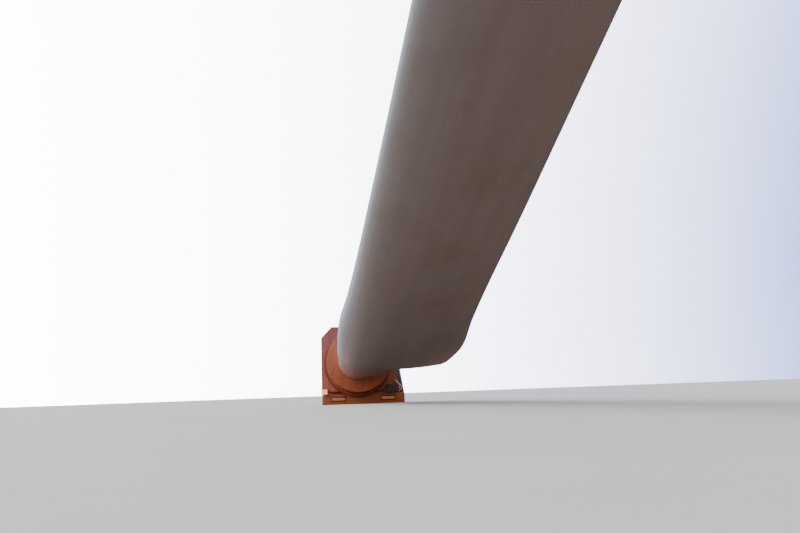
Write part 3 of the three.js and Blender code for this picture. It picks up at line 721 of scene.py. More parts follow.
class Section:
    """The blade's section at a distance from its root."""

    def __init__(self, along):
        table = BLADE_STATIONS
        last = len(table) - 1
        i = max(k for k in range(last) if table[k][0] <= max(along, ROOT_END))
        span = table[i + 1][0] - table[i][0]
        t = min(max((along - table[i][0]) / span, 0), 1)

        def slope(k, column):
            before = table[max(k - 1, 0)]
            after = table[min(k + 1, last)]
            return (after[column] - before[column]) / (after[0] - before[0])

        def value(column):
            a = table[i][column]
            b = table[i + 1][column]
            bend = t * (1 - t) * span * (slope(i, column) * (1 - t) - slope(i + 1, column) * t)
            return a + (b - a) * t * t * (3 - 2 * t) + bend

        lead = value(1)
        trail = value(2)
        s = min(max((along - ROOT_END) / (AIRFOIL_START - ROOT_END), 0), 1)
        self.along = along
        self.centre = (trail - lead) / 2
        self.half = (trail + lead) / 2
        self.thickness = value(3)
        self.twist = math.radians(value(4))
        self.airfoil = s * s * (3 - 2 * s)
        self.edge = EDGE_TIP + (EDGE_ROOT - EDGE_TIP) * self.airfoil * (1 - along / BLADE_LENGTH)

    def spot(self, angle, proud=0.0):
        """A point of the skin: angle 0 is the trailing edge's upper side, PI the leading edge."""
        back = (1 + math.cos(angle)) / 2
        # The usual rise of a four-digit airfoil over its chord
        foil = 5 * (0.2969 * math.sqrt(back) - 0.126 * back - 0.3516 * back ** 2
                    + 0.2843 * back ** 3 - 0.1036 * back ** 4)
        round_half = abs(math.sin(angle)) / 2
        rise = self.thickness * (round_half + (foil - round_half) * self.airfoil)
        side = 1 if angle <= math.pi else -1
        x = self.centre + (self.half + proud) * math.cos(angle)
        z = side * (rise + self.edge * back) + proud * math.sin(angle)
        share = (x - self.centre + self.half) / (2 * self.half)
        z += CAMBER * 8 * self.half * share * (1 - share) * self.airfoil
        cos = math.cos(self.twist)
        sin = math.sin(self.twist)
        return Vector((x * cos + z * sin, -self.along, z * cos - x * sin))


def laid(rows, columns, along_at, spot_at):
    """A grid laid on the blade: along_at places its rows, spot_at a vertex by its share across."""
    solid = bmesh.new()
    bmesh.ops.create_grid(solid, x_segments=rows, y_segments=columns, size=0.5)
    sections = [Section(along_at(row / rows)) for row in range(rows + 1)]
    for vert in solid.verts:
        section = sections[round((vert.co.x + 0.5) * rows)]
        vert.co = spot_at(section, vert.co.y + 0.5)
    return solid


def skin(start, end, rows, columns, crowding):
    """The closed skin of a stretch of the blade; crowding over 1 draws its rows to the start."""
    def spot_at(section, share):
        column = round(share * (columns + 1))
        return section.spot(2 * math.pi * (column / columns if column <= columns else 0))

    solid = laid(rows, columns + 1, lambda t: start + (end - start) * t ** crowding, spot_at)
    bmesh.ops.remove_doubles(solid, verts=solid.verts, dist=SAME_SPOT)
    bmesh.ops.dissolve_degenerate(solid, edges=solid.edges, dist=SAME_SPOT)
    rim = [edge for edge in solid.edges if edge.is_boundary]
    bmesh.ops.holes_fill(solid, edges=rim, sides=0)
    bmesh.ops.recalc_face_normals(solid, faces=solid.faces)
    return solid


def edge_strip(start, end, rows, columns, reach, proud):
    """A thin band laid over the leading edge, with a reach to each side of it."""
    def spot_at(section, share):
        nose = section.thickness * 0.5 + 0.12
        return section.spot(math.pi + (share * 2 - 1) * reach / nose, proud)

    solid = laid(rows, columns, lambda t: start + (end - start) * t, spot_at)
    bmesh.ops.recalc_face_normals(solid, faces=solid.faces)
    bmesh.ops.solidify(solid, geom=solid.faces, thickness=proud)
    bmesh.ops.recalc_face_normals(solid, faces=solid.faces)
    return solid


class HOLDER_OT_blade_skin(bpy.types.Operator):
    """Builds the blade's smooth skin, its tip and its root collar"""

    bl_idname = "root_holder.blade_skin"
    bl_label = "Blade Skin"

    def execute(self, context):
        blade, _ = settings()
        long_skin = skin(ROOT_END, TIP_START, blade.rows, blade.columns, 1.5)
        piece("blade_skin", [long_skin], BLADE_COAT, "turner", "blade_upper_shell",
              "blade_lower_shell", slot="gelcoat")
        tip = skin(TIP_START + 0.001, BLADE_LENGTH, 24, blade.columns, 0.8)
        piece("blade_tip_skin", [tip], BLADE_COAT, "turner", "blade_tip", slot="gelcoat")
        low, high = box_in("blade_root_collar")
        inner = BLADE_STATIONS[0][3] / 2 - COLLAR_WALL
        lip = 0.012
        collar = turned([
            (inner, low.y), (high.x - lip, low.y), (high.x, low.y + lip), (high.x, high.y),
            (inner, high.y)], 128, 0.003)
        piece("blade_collar", [collar], BLADE_COAT, "turner", "blade_root_collar",
              slot="gelcoat")
        return {"FINISHED"}


class HOLDER_OT_blade_trim(bpy.types.Operator):
    """Builds the edge tape, the bond seam, the lightning receptors and the drain"""

    bl_idname = "root_holder.blade_trim"
    bl_label = "Blade Trim"

    def execute(self, context):
        blade, _ = settings()
        tape = edge_strip(blade.tape_start, TIP_START - 0.05, 90, 8, blade.tape_width, 0.0015)
        piece("leading_edge_tape", [tape], ("edge_tape",), "turner", slot="gelcoat")
        seam = edge_strip(AIRFOIL_START, blade.tape_start - 0.02, 70, 4, 0.03, 0.001)
        piece("leading_bond_seam", [seam], ("bond_seam",), "turner", slot="gelcoat")
        radius = blade.receptor_radius
        marks = []
        for along in (24.0, 28.0, 32.0, 35.0):
            section = Section(along)
            for angle in (math.radians(100), math.radians(260)):
                spot = section.spot(angle)
                out = (section.spot(angle, 0.01) - spot).normalized()
                marks += [rod(radius, spot - out * 0.01, spot + out * 0.004, 24, 0.001),
                          rod(radius * 0.3, spot, spot + out * 0.006, 6)]
        drain = Section(35.55).spot(math.radians(20))
        marks.append(rod(0.006, drain, drain + Vector((0.01, 0, 0)), 12))
        piece("lightning_receptors", marks, ("turned_steel",), "turner", slot="machined_steel")
        return {"FINISHED"}


# Drum that turns the blade

DRUM_BORE = 0.78
# Radii of the flange's raised middle, its circle of screws and two circles of bolts
FLANGE_MIDDLE = 0.82
FLANGE_CIRCLE = 1.03
REAR_CIRCLE = 1.209
BEARING_CIRCLE = 0.955
# Radii and heights of the rim of a screw with a socket
SCREW = ((0.006, 0.004), (0.006, -0.0015), (0.014, -0.0015), (0.016, 0.0005), (0.016, 0.004))
# Radius and turn in degrees of the flange's holes, drawn as charcoal discs: painted shade of their
# insides
FLANGE_HOLES = ((1.14, 205.5), (1.02, 219), (1.165, 234), (1.15, 328))


class HOLDER_OT_drum(bpy.types.Operator):
    """Builds the turning drum: root flange, wall, back ring and their bolts"""

    bl_idname = "root_holder.drum"
    bl_label = "Turning Drum"

    def execute(self, context):
        _, holder = settings()
        low, high = box_in("root_flange")
        radius = high.x
        step = 0.012
        face = low.y + step / 2
        solids = [turned([
            (0, low.y), (FLANGE_MIDDLE, low.y), (FLANGE_MIDDLE + step, face),
            (radius - step, face), (radius, low.y + step), (radius, high.y - step),
            (radius - step, high.y), (0, high.y)], 160, 0.003)]
        for i in range(holder.flange_bolts):
            spot = on_circle(FLANGE_CIRCLE, face, 2 * math.pi * i / holder.flange_bolts)
            solids.append(moved(turned(SCREW, 20), spot))
        # Charcoal discs in the flange's face: painted shade of holes
        for radius_out, degrees in FLANGE_HOLES:
            spot = on_circle(radius_out, face, math.radians(degrees))
            solids.append(painted(rod(
                0.026, spot + Vector((0, 0.004, 0)), spot - Vector((0, 0.0015, 0)), 24)))
        piece("root_flange_disc", solids, ("orange_paint", "orange_paint_worn", "charcoal_paint"),
              "turner", "root_flange")

        low, high = box_in("drum_wall")
        radius = high.x
        solids = [ring(radius - 0.04, radius, low.y, high.y, 160),
                  bead_ring(radius, low.y + 0.002, holder.weld),
                  bead_ring(radius, high.y - 0.002, holder.weld)]
        middle = Vector((0, (low.y + high.y) / 2, 0))
        for i in range(4):
            out = on_circle(1, 0, math.radians(45 + 90 * i))
            across = out.cross(Vector((0, 1, 0)))
            turn_out = out.to_track_quat("Y", "Z").to_matrix().to_4x4()
            lid = ring(0, 0.11, 0, 0.012, 40, 0.003)
            lid.transform(Matrix.Translation(middle + out * (radius - 0.006)) @ turn_out)
            solids.append(lid)
            for k in range(6):
                turn = math.radians(60 * k)
                side = Vector((0, math.cos(turn), 0)) + across * math.sin(turn)
                solids.append(bolt(middle + out * (radius + 0.005) + side * 0.088, out, 0.011))
        piece("drum_shell", solids, DRUM_COAT, "turner", "drum_wall")

        low, high = box_in("drum_back_ring")
        # The back ring's outer rim takes a dark paint: painted shade of the gap between the ring
        # and the plate
        rim = high.x - 0.045
        solids = [ring(DRUM_BORE, rim, low.y, high.y, 160),
                  painted(ring(rim + 0.0005, high.x, low.y, high.y, 160, 0.006)),
                  *bolt_ring(REAR_CIRCLE, low.y, 36, 0.014, -1, MAIN)]
        piece("drum_rear_ring", solids, ("drum_paint", "drum_paint", "gap_shade_rim"), "turner",
              "drum_back_ring")
        return {"FINISHED"}


class HOLDER_OT_bearing(bpy.types.Operator):
    """Builds the slewing bearing's two rings"""

    bl_idname = "root_holder.bearing"
    bl_label = "Slewing Bearing"

    def execute(self, context):
        low, high = box_in("bearing_inner_ring")
        piece("bearing_ring_turning", [ring(DRUM_BORE, high.x, low.y, high.y, 144, 0.002)],
              BEARING_COAT, "turner", "bearing_inner_ring", slot="machined_steel")
        low, high = box_in("bearing_outer_ring")
        solids = [ring(high.x - 0.10 + 0.001, high.x, low.y, high.y, 144, 0.003)]
        top = Matrix.Translation((0, (low.y + high.y) / 2, high.x - 0.004))
        for k in range(8):
            nipple = painted(rod(0.008, (0, 0, 0), (0, 0, 0.03), 8))
            nipple.transform(Matrix.Rotation(2 * math.pi * k / 8, 4, "Y") @ top)
            solids.append(nipple)
        piece("bearing_ring_fixed", solids, BEARING_COAT, "tilt_frame", "bearing_outer_ring",
              slot="machined_steel")
        return {"FINISHED"}


# Tilting frame

# Radii of the pins; the bores around them are wider by a clearance
LIFT_PIN = 0.08
CYLINDER_PIN = 0.05
TIGHT = 0.0003
LOOSE = 0.0006
PLATE_CHAMFER = Vector((0.40, 0, 0.44))


def channel(low, high, wall, opening):
    """An upright or level channel whose open side looks along +X, -X, +Z or -Z."""
    upright = opening.endswith("X")
    near, far = (low.x, high.x) if upright else (low.z, high.z)
    back, front = (near, far) if opening.startswith("+") else (far, near)
    inside = back + math.copysign(wall, front - back)
    outline = [(front, low.y), (back, low.y), (back, high.y), (front, high.y),
               (front, high.y - wall), (inside, high.y - wall),
               (inside, low.y + wall), (front, low.y + wall)]
    if upright:
        return plate(outline, "Z", low.z, high.z, 0.003)
    return plate([(y, z) for z, y in outline], "X", low.x, high.x, 0.003)


class HOLDER_OT_tilt_plate(bpy.types.Operator):
    """Builds the face plate, its channels, ribs, cover and bolts"""

    bl_idname = "root_holder.tilt_plate"
    bl_label = "Face Plate"

    def execute(self, context):
        _, holder = settings()
        low, high = box_in("face_plate")
        across = PLATE_CHAMFER.x
        shoulder = high.z - PLATE_CHAMFER.z
        outline = [
            (low.x, low.z), (high.x, low.z), (high.x, shoulder), (high.x - across, high.z),
            (low.x + across, high.z), (low.x, shoulder)]
        solids = [plate(outline, "Y", low.y, high.y, holder.edge),
                  *bolt_ring(BEARING_CIRCLE, high.y, 48, 0.020, 1)]
        piece("tilt_plate", solids, PLATE_COAT, "tilt_frame", "face_plate")

        welds = []
        for name, opening in (("left_edge_channel", "+X"), ("right_edge_channel", "-X"),
                              ("top_channel", "-Z"), ("bottom_channel", "+Z"),
                              ("cross_rib", "-Z")):
            low, high = box_in(name)
            piece(name.replace("channel", "section"), [channel(low, high, 0.012, opening)],
                  PLATE_COAT, "tilt_frame", name)
            y = low.y + holder.weld * 0.3
            if opening.endswith("X"):
                spots = [((x, y, low.z), (x, y, high.z)) for x in (low.x, high.x)]
            else:
                spots = [((low.x, y, z), (high.x, y, z)) for z in (low.z, high.z)]
            welds += [bead(first, second, holder.weld) for first, second in spots]
        piece("plate_welds", welds, ("plate_paint_worn",), "tilt_frame")

        low, high = box_in("centre_cover")
        radius = high.x
        rise = high.y - low.y
        solids = [
            turned([(0, low.y), (radius, low.y), (radius, low.y + rise * 0.35),
                    (radius * 0.86, low.y + rise * 0.5), (radius * 0.82, high.y),
                    (0, high.y)], 96, 0.006),
            *bolt_ring(radius * 0.93, low.y + rise * 0.42, 16, 0.014, 1)]
        top = high.y + 0.045
        for x in (-radius * 0.55, radius * 0.55):
            for start, end in (((high.y, -0.07), (top, -0.07)), ((top, -0.078), (top, 0.078)),
                               ((high.y, 0.07), (top, 0.07))):
                solids.append(painted(rod(0.008, (x, *start), (x, *end), 12)))
        piece("service_cover", solids, PLATE_COAT, "tilt_frame", "centre_cover")
        return {"FINISHED"}


class HOLDER_OT_pivot_arms(bpy.types.Operator):
    """Builds the two arms that carry the plate on the lifting pivot"""

    bl_idname = "root_holder.pivot_arms"
    bl_label = "Pivot Arms"

    def execute(self, context):
        _, holder = settings()
        pivot = HELD.inverted() @ LIFT_PIVOT
        centre = (pivot.y, pivot.z)
        channel_back = box_in("left_edge_channel")[1].y
        for side, _ in SIDES:
            low, high = box_in(f"{side}_pivot_arm")
            boss = high.y - pivot.y
            outline = [
                (low.y, low.z), (channel_back, low.z), *arc_points(centre, boss, -60, 60),
                (channel_back, high.z), (low.y, high.z)]
            half = (high.x - low.x) / 2 + 0.003
            bore = [(centre, LIFT_PIN + LOOSE, 48)]
            collar = ring(LIFT_PIN + 0.001, boss - 0.012, -half, half, 48, 0.002, "X")
            solids = [
                plate(outline, "X", low.x, high.x, holder.edge, bore),
                moved(collar, ((low.x + high.x) / 2, *centre))]
            y = low.y + 0.003
            solids += [bead((x, y, low.z), (x, y, high.z), holder.weld)
                       for x in (low.x, high.x)]
            piece(f"{side}_arm", solids, PLATE_COAT, "tilt_frame", f"{side}_pivot_arm")
        return {"FINISHED"}


class HOLDER_OT_lift_lugs(bpy.types.Operator):
    """Builds the lugs that take the lift cylinders' rod eyes"""

    bl_idname = "root_holder.lift_lugs"
    bl_label = "Lift Lugs"

    def execute(self, context):
        _, holder = settings()
        lug = 0.04
        rise = 0.006
        for side, _ in SIDES:
            low, high = box_in(f"{side}_lift_lugs")
            half = (high.z - low.z) / 2
            centre = (high.y - half, (low.z + high.z) / 2)
            foot = low.y + 0.030
            outline = [(foot, low.z), *arc_points(centre, half, -90, 90), (foot, high.z)]
            bore = [(centre, CYLINDER_PIN, 40)]
            solids = [block(low, (high.x, foot, high.z), holder.edge)]
            for x in (low.x, high.x - lug):
                solids.append(plate(outline, "X", x, x + lug, holder.edge, bore))
                solids += [bead((x, foot, z), (x + lug, foot, z), 0.006)
                           for z in (low.z, high.z)]
            for x in (low.x - rise, high.x):
                washer = ring(CYLINDER_PIN, 0.078, 0, rise, 40, 0.0015, "X")
                solids.append(moved(washer, (x, *centre)))
            piece(f"{side}_lug_pair", solids, PLATE_COAT, "tilt_frame", f"{side}_lift_lugs")
        return {"FINISHED"}


class HOLDER_OT_turn_drives(bpy.types.Operator):
    """Builds the two hydraulic motors with their planetary gears"""

    bl_idname = "root_holder.turn_drives"
    bl_label = "Turn Drives"

    def execute(self, context):
        coat = ("charcoal_paint", "charcoal_paint_worn", "zinc_bolts", "turned_steel")
        fins = 7
        for side, _ in SIDES:
            low, high = box_in(f"{side}_turn_drive")
            centre = (low + high) / 2
            radius = (high.x - low.x) / 2
            flange = low.y + 0.04
            gear = flange + 0.19
            fin = (gear - flange) / fins
            profile = [(0, low.y), (radius, low.y), (radius, flange)]
            for k in range(fins):
                y = flange + fin * k
                profile += [(0.074, y), (0.074, y + fin * 0.45), (0.085, y + fin * 0.5),
                            (0.085, y + fin * 0.95)]
            profile += [(0.062, gear), (0.060, gear + 0.02), (0.060, high.y - 0.012),
                        (0.048, high.y), (0, high.y)]
            solids = [turned(profile, 48), *bolt_ring(0.097, flange, 12, 0.010, 1)]
            y = high.y - 0.05
            for x in (-0.03, 0.03):
                solids += [painted(rod(0.016, (x, y, 0.052), (x, y, 0.085), 12, 0.002), EXTRA),
                           painted(rod(0.010, (x, y, 0.085), (x, y, 0.098), 6))]
            solids = [moved(solid, (centre.x, 0, centre.z)) for solid in solids]
            piece(f"{side}_turn_motor", solids, coat, "tilt_frame", f"{side}_turn_drive",
                  slot="dark_steel")
        return {"FINISHED"}


# Valve pipes: heights where they leave the box, places across and height where they end
PIPE_STARTS = (-1.11, -1.02)
PIPE_ENDS = (1.50, 1.44)
PIPE_TOP = -0.69
PIPE_RADIUS = 0.021


class HOLDER_OT_valve_box(bpy.types.Operator):
    """Builds the valve box with its lid, latches and pipes"""

    bl_idname = "root_holder.valve_box"
    bl_label = "Valve Box"

    def execute(self, context):
        low, high = box_in("valve_box")
        lid = low.y + 0.022
        inset = 0.006
        body = held_copy("valve_box", 0.006)
        bmesh.ops.bisect_plane(
            body, geom=[*body.verts, *body.edges, *body.faces], plane_co=(0, lid, 0),
            plane_no=(0, -1, 0), clear_outer=True)
        bmesh.ops.holes_fill(body, edges=[edge for edge in body.edges if edge.is_boundary])
        middle = (low.z + high.z) / 2
        solids = [
            body,
            block((low.x - inset, low.y, low.z - inset), (high.x, lid - 0.003, high.z + 0.002),
                  0.005),
            painted(block((low.x + inset, lid - 0.004, low.z + inset),
                          (high.x - inset, lid + 0.002, high.z - inset), 0), EXTRA),
            painted(block((high.x - 0.06, low.y - 0.006, middle - 0.02),
                          (high.x - 0.02, low.y + 0.001, middle + 0.02), 0.002))]
        x = low.x - 0.004
        for z in (low.z + 0.05, high.z - 0.05):
            solids.append(painted(rod(0.009, (x, lid, z - 0.03), (x, lid, z + 0.03), 12)))
        y = high.y - 0.09
        for k in range(4):
            x = low.x + 0.06 + 0.05 * k
            solids.append(nut(0.014, (x, y, high.z - 0.002), (x, y, high.z + 0.016)))
        piece("valve_cabinet", solids,
              ("cabinet_paint", "cabinet_paint_worn", "zinc_bolts", "black_rubber"),
              "tilt_frame", "valve_box", slot="dark_steel")

        solids = [held_copy("valve_pipes")]
        y = (low.y + high.y) / 2
        solids += [nut(0.032, (high.x - 0.001, y, z), (high.x + 0.03, y, z))
                   for z in PIPE_STARTS]
        solids += [nut(PIPE_RADIUS + 0.006, (x, high.y - 0.040, PIPE_TOP),
                       (x, high.y - 0.020, PIPE_TOP), 16) for x in PIPE_ENDS]
        solids += [bolt((sum(PIPE_ENDS) / 2, high.y - PIPE_RADIUS, PIPE_TOP + sign * 0.016),
                        (0, -1, 0), 0.006) for _, sign in SIDES]
        piece("valve_pipe_pair", solids, ("pale_pipe", "pale_pipe", "zinc_bolts"), "tilt_frame",
              "valve_pipes", slot="machined_steel")
        return {"FINISHED"}


# Base frame

BEAM_TOP = 0.39
CAP = 0.012
CAP_INSET = 0.006
# The two notches in the sill: places across, half their width and the height of their floor
NOTCHES = (0.62, -0.62)
NOTCH_HALF = 0.115
NOTCH_FLOOR = 0.44
BULKHEAD_WIDTH = 0.17
BULKHEAD_Y = (0.35, 0.37)
BULKHEAD_Z = (0.20, 0.475)


def lifting_eye(x, y, z):
    """A welded ring on a small foot, to lift the frame by."""
    loop = turned([(0.036 + a, b) for a, b in circle_points((0, 0), 0.009, 12)], 28, axis="X")
    foot = block((x - 0.022, y - 0.03, z - 0.002), (x + 0.022, y + 0.03, z + 0.012), 0.002)
    return [moved(loop, (x, y, z + 0.040)), foot]


class HOLDER_OT_base_beams(bpy.types.Operator):
    """Builds the rear beam, the long beams and the cross beams"""

    bl_idname = "root_holder.base_beams"
    bl_label = "Base Beams"

    def execute(self, context):
        _, holder = settings()
        corner = holder.tube_corner
        weld = holder.weld
        low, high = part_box("rear_beam")
        solids = [block((low.x + CAP, low.y, low.z), (high.x - CAP, high.y, BEAM_TOP), corner)]
        for x in (low.x, high.x - CAP):
            solids.append(block(
                (x, low.y + CAP_INSET, low.z + CAP_INSET),
                (x + CAP, high.y - CAP_INSET, BEAM_TOP - CAP_INSET), 0.002))
        sill = [vert.co for vert in frame["nodes"]["rear_beam"].data.vertices
                if vert.co.z > BEAM_TOP + 0.01]
        front = min(spot.y for spot in sill)
        back = max(spot.y for spot in sill)
        left = low.x + 0.004
        right = max(spot.x for spot in sill)
        outline = [(left, BEAM_TOP - 0.002), (right, BEAM_TOP - 0.002), (right, high.z)]
        for x in NOTCHES:
            outline += [(x + NOTCH_HALF, high.z), (x + NOTCH_HALF, NOTCH_FLOOR),
                        (x - NOTCH_HALF, NOTCH_FLOOR), (x - NOTCH_HALF, high.z)]
        outline.append((left, high.z))
        solids.append(plate(outline, "Y", front, back, 0.003))
        solids += [bead((low.x + 0.01, y, BEAM_TOP), (right, y, BEAM_TOP), weld)
                   for y in (front, back)]
        piece("rear_box_beam", solids, BEAM_COAT, "base", "rear_beam")

        for side, _ in SIDES:
            low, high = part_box(f"{side}_long_beam")
            middle = (low.x + high.x) / 2
            end = high.y - CAP
            solids = [
                block(low, (high.x, end, high.z), corner),
                block((low.x + CAP_INSET, end, low.z + CAP_INSET),
                      (high.x - CAP_INSET, high.y, high.z - CAP_INSET), 0.002),
                bead((low.x, low.y + 0.002, high.z), (high.x, low.y + 0.002, high.z), weld),
                *lifting_eye(middle, 1.25, high.z), *lifting_eye(middle, 2.30, high.z)]
            for y in (0.95, 1.55, 2.20):
                solids += [bolt((x, y, 0.14), (out, 0, 0), 0.018)
                           for x, out in ((low.x, -1), (high.x, 1))]
            piece(f"{side}_bearer", solids, BEAM_COAT, "base", f"{side}_long_beam")

        front, back = BULKHEAD_Y
        foot, top = BULKHEAD_Z
        for side, sign in SIDES:
            low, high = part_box(f"{side}_long_beam")
            wall = low.x if sign > 0 else high.x
            free = wall - sign * BULKHEAD_WIDTH
            solids = [
                block((min(wall, free), front, foot), (max(wall, free), back, top), 0.003),
                bead((wall, front, foot), (wall, front, low.z + 0.28), 0.005)]
            for k in range(3):
                x = free + sign * (0.035 + 0.050 * k)
                for z in (0.34, 0.41):
                    solids += [nut(0.017, (x, back - 0.002, z), (x, back + 0.028, z)),
                               nut(0.012, (x, back + 0.026, z), (x, back + 0.070, z), 16)]
            piece(f"{side}_hose_bulkhead", solids, BEAM_COAT, "base")

        for name in ("cylinder_cross_beam", "front_cross_beam"):
            low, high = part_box(name)
            solids = [block(low, high, corner)]
            for x in (low.x + 0.003, high.x - 0.003):
                solids += [bead((x, low.y, z), (x, high.y, z), weld)
                           for z in (low.z + weld, high.z - 0.002)]
            piece(name.replace("beam", "tube"), solids, BEAM_COAT, "base", name)
        return {"FINISHED"}


def pin(radius, low_x, high_x, centre, sign):
    """A pin along X with chamfered ends and a grease nipple on its outer one."""
    end = high_x if sign > 0 else low_x
    bar = turned(eased(0, radius, low_x, high_x), 48, axis="X")
    nipple = rod(0.007, (end, *centre), (end + sign * 0.014, *centre), 8)
    return [moved(bar, (0, *centre)), nipple]


class HOLDER_OT_pivot_brackets(bpy.types.Operator):
    """Builds the brackets and pins of the lifting pivot"""

    bl_idname = "root_holder.pivot_brackets"
    bl_label = "Pivot Brackets"

    def execute(self, context):
        _, holder = settings()
        centre = (LIFT_PIVOT.y, LIFT_PIVOT.z)
        bore = [(centre, LIFT_PIN + TIGHT, 48)]
        cheek = 0.050
        gap = 0.046
        for side, sign in SIDES:
            low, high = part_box(f"{side}_pivot_bracket")
            foot = low.z + 0.030
            middle = (low.x + high.x) / 2
            outline = [
                (low.y + 0.105, foot - 0.001), (0.70, foot - 0.001),
                *arc_points(centre, high.z - LIFT_PIVOT.z, 25, 180),
                (low.y + 0.105, LIFT_PIVOT.z / 2)]
            solids = [block((low.x, 0.16, low.z), (high.x, 0.78, foot), holder.edge)]
            for x in (middle - gap - cheek, middle + gap):
                solids.append(plate(outline, "X", x, x + cheek, holder.edge, bore))
                solids += [bead((face, 0.17, foot), (face, 0.69, foot), holder.weld)
                           for face in (x, x + cheek)]
            for x in (low.x + 0.028, high.x - 0.028):
                solids += [bolt((x, y, foot), (0, 0, 1), 0.018) for y in (0.22, 0.47, 0.72)]
            piece(f"{side}_pivot_stand", solids, BEAM_COAT, "base", f"{side}_pivot_bracket")
            low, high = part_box(f"{side}_pivot_pin")
            piece(f"{side}_hinge_pin", pin(LIFT_PIN, low.x, high.x, centre, sign), PIN_COAT,
                  "base", f"{side}_pivot_pin", slot="machined_steel")
        return {"FINISHED"}


class HOLDER_OT_cylinder_brackets(bpy.types.Operator):
    """Builds the brackets and pins under the lift cylinders"""

    bl_idname = "root_holder.cylinder_brackets"
    bl_label = "Cylinder Brackets"

    def execute(self, context):
        _, holder = settings()
        cheek = 0.04
        for side, sign in SIDES:
            low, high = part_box(f"{side}_cylinder_bracket")
            centre = tuple(JOINTS[f"{side}_barrel_swing"]["pos_m"][1:])
            foot = low.z + 0.025
            outline = [(low.y, foot - 0.001), (high.y, foot - 0.001),
                       *arc_points(centre, high.z - centre[1], 0, 180)]
            solids = [block(low, (high.x, high.y, foot), holder.edge)]
            bore = [(centre, CYLINDER_PIN + TIGHT, 40)]
            solids += [plate(outline, "X", x, x + cheek, holder.edge, bore)
                       for x in (low.x, high.x - cheek)]
            piece(f"{side}_cylinder_stand", solids, BEAM_COAT, "base",
                  f"{side}_cylinder_bracket")
            low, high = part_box(f"{side}_cylinder_pin")
            piece(f"{side}_lower_pin", pin(CYLINDER_PIN, low.x, high.x, centre, sign), PIN_COAT,
                  "base", f"{side}_cylinder_pin", slot="machined_steel")
        return {"FINISHED"}


class HOLDER_OT_lamps(bpy.types.Operator):
    """Builds the rear lamps, the side marker lamp and the end gusset"""

    bl_idname = "root_holder.lamps"
    bl_label = "Lamps"

    def execute(self, context):
        bezel = Vector((0.022, 0, 0.026))
        for side, _ in SIDES:
            low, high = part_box(f"{side}_rear_lamp")
            back = low.y + 0.012
            foot = Vector((low.x, high.y - 0.008, low.z))
            solids = [painted(block((low.x, back, low.z), high, 0.004)),
                      block((low.x + 0.012, low.y, low.z + 0.005),
                            (high.x - 0.012, back + 0.001, high.z - 0.014), 0.003),
                      painted(block(foot - bezel, high + bezel, 0.003))]
            piece(f"{side}_tail_lamp", solids, ("amber_lens", "lamp_rim", "lamp_rim"), "base",
                  f"{side}_rear_lamp", slot="amber_lens")

        low, high = box_in("side_marker_lamp")
        lens_top = -0.954
        lens = block((low.x + 0.002, low.y - 0.012, low.z + 0.004),
                     (high.x - 0.008, low.y + 0.004, lens_top), 0.006)
        housing = held_copy("side_marker_lamp", 0.004)
        piece("side_marker", [painted(housing), painted(lens, MAIN)],
              ("marker_lens", "charcoal_paint", "charcoal_paint"), "tilt_frame",
              "side_marker_lamp", slot="amber_lens")

        # The gusset's sheet takes a dark plum paint: painted shade
        low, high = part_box("right_end_gusset")
        back = high.y
        front = back - 0.02
        top = low.x + 0.11
        bar = 0.05
        sheet = [(low.x, low.z), (high.x, low.z), (top, high.z), (low.x, high.z)]
        edge_bar = [(high.x - bar, low.z), (high.x, low.z), (top, high.z), (top - bar, high.z)]
        rib = [(back - 0.001, low.z), (back + 0.16, low.z), (back - 0.001, low.z + 0.55)]
        foot = low.z + 0.003
        solids = [plate(sheet, "Y", front, back, 0.004),
                  painted(plate(edge_bar, "Y", low.y, front + 0.001, 0.004)),
                  plate(rib, "X", low.x + 0.08, low.x + 0.095, 0.003),
                  bead((low.x, front, foot), (high.x, front, foot), 0.007)]
        piece("end_gusset", solids, ("gusset_shade_paint", "gusset_shade_paint", "gusset_bar_paint"), "base",
              "right_end_gusset")
        return {"FINISHED"}


# Radii of a cylinder's rod, gland bore, tube, heads, necks and eyes, and half an eye's width
ROD = 0.070
GLAND = 0.0718
TUBE = 0.118
HEAD = 0.125
NECK = 0.055
EYE = 0.110
EYE_HALF = 0.060


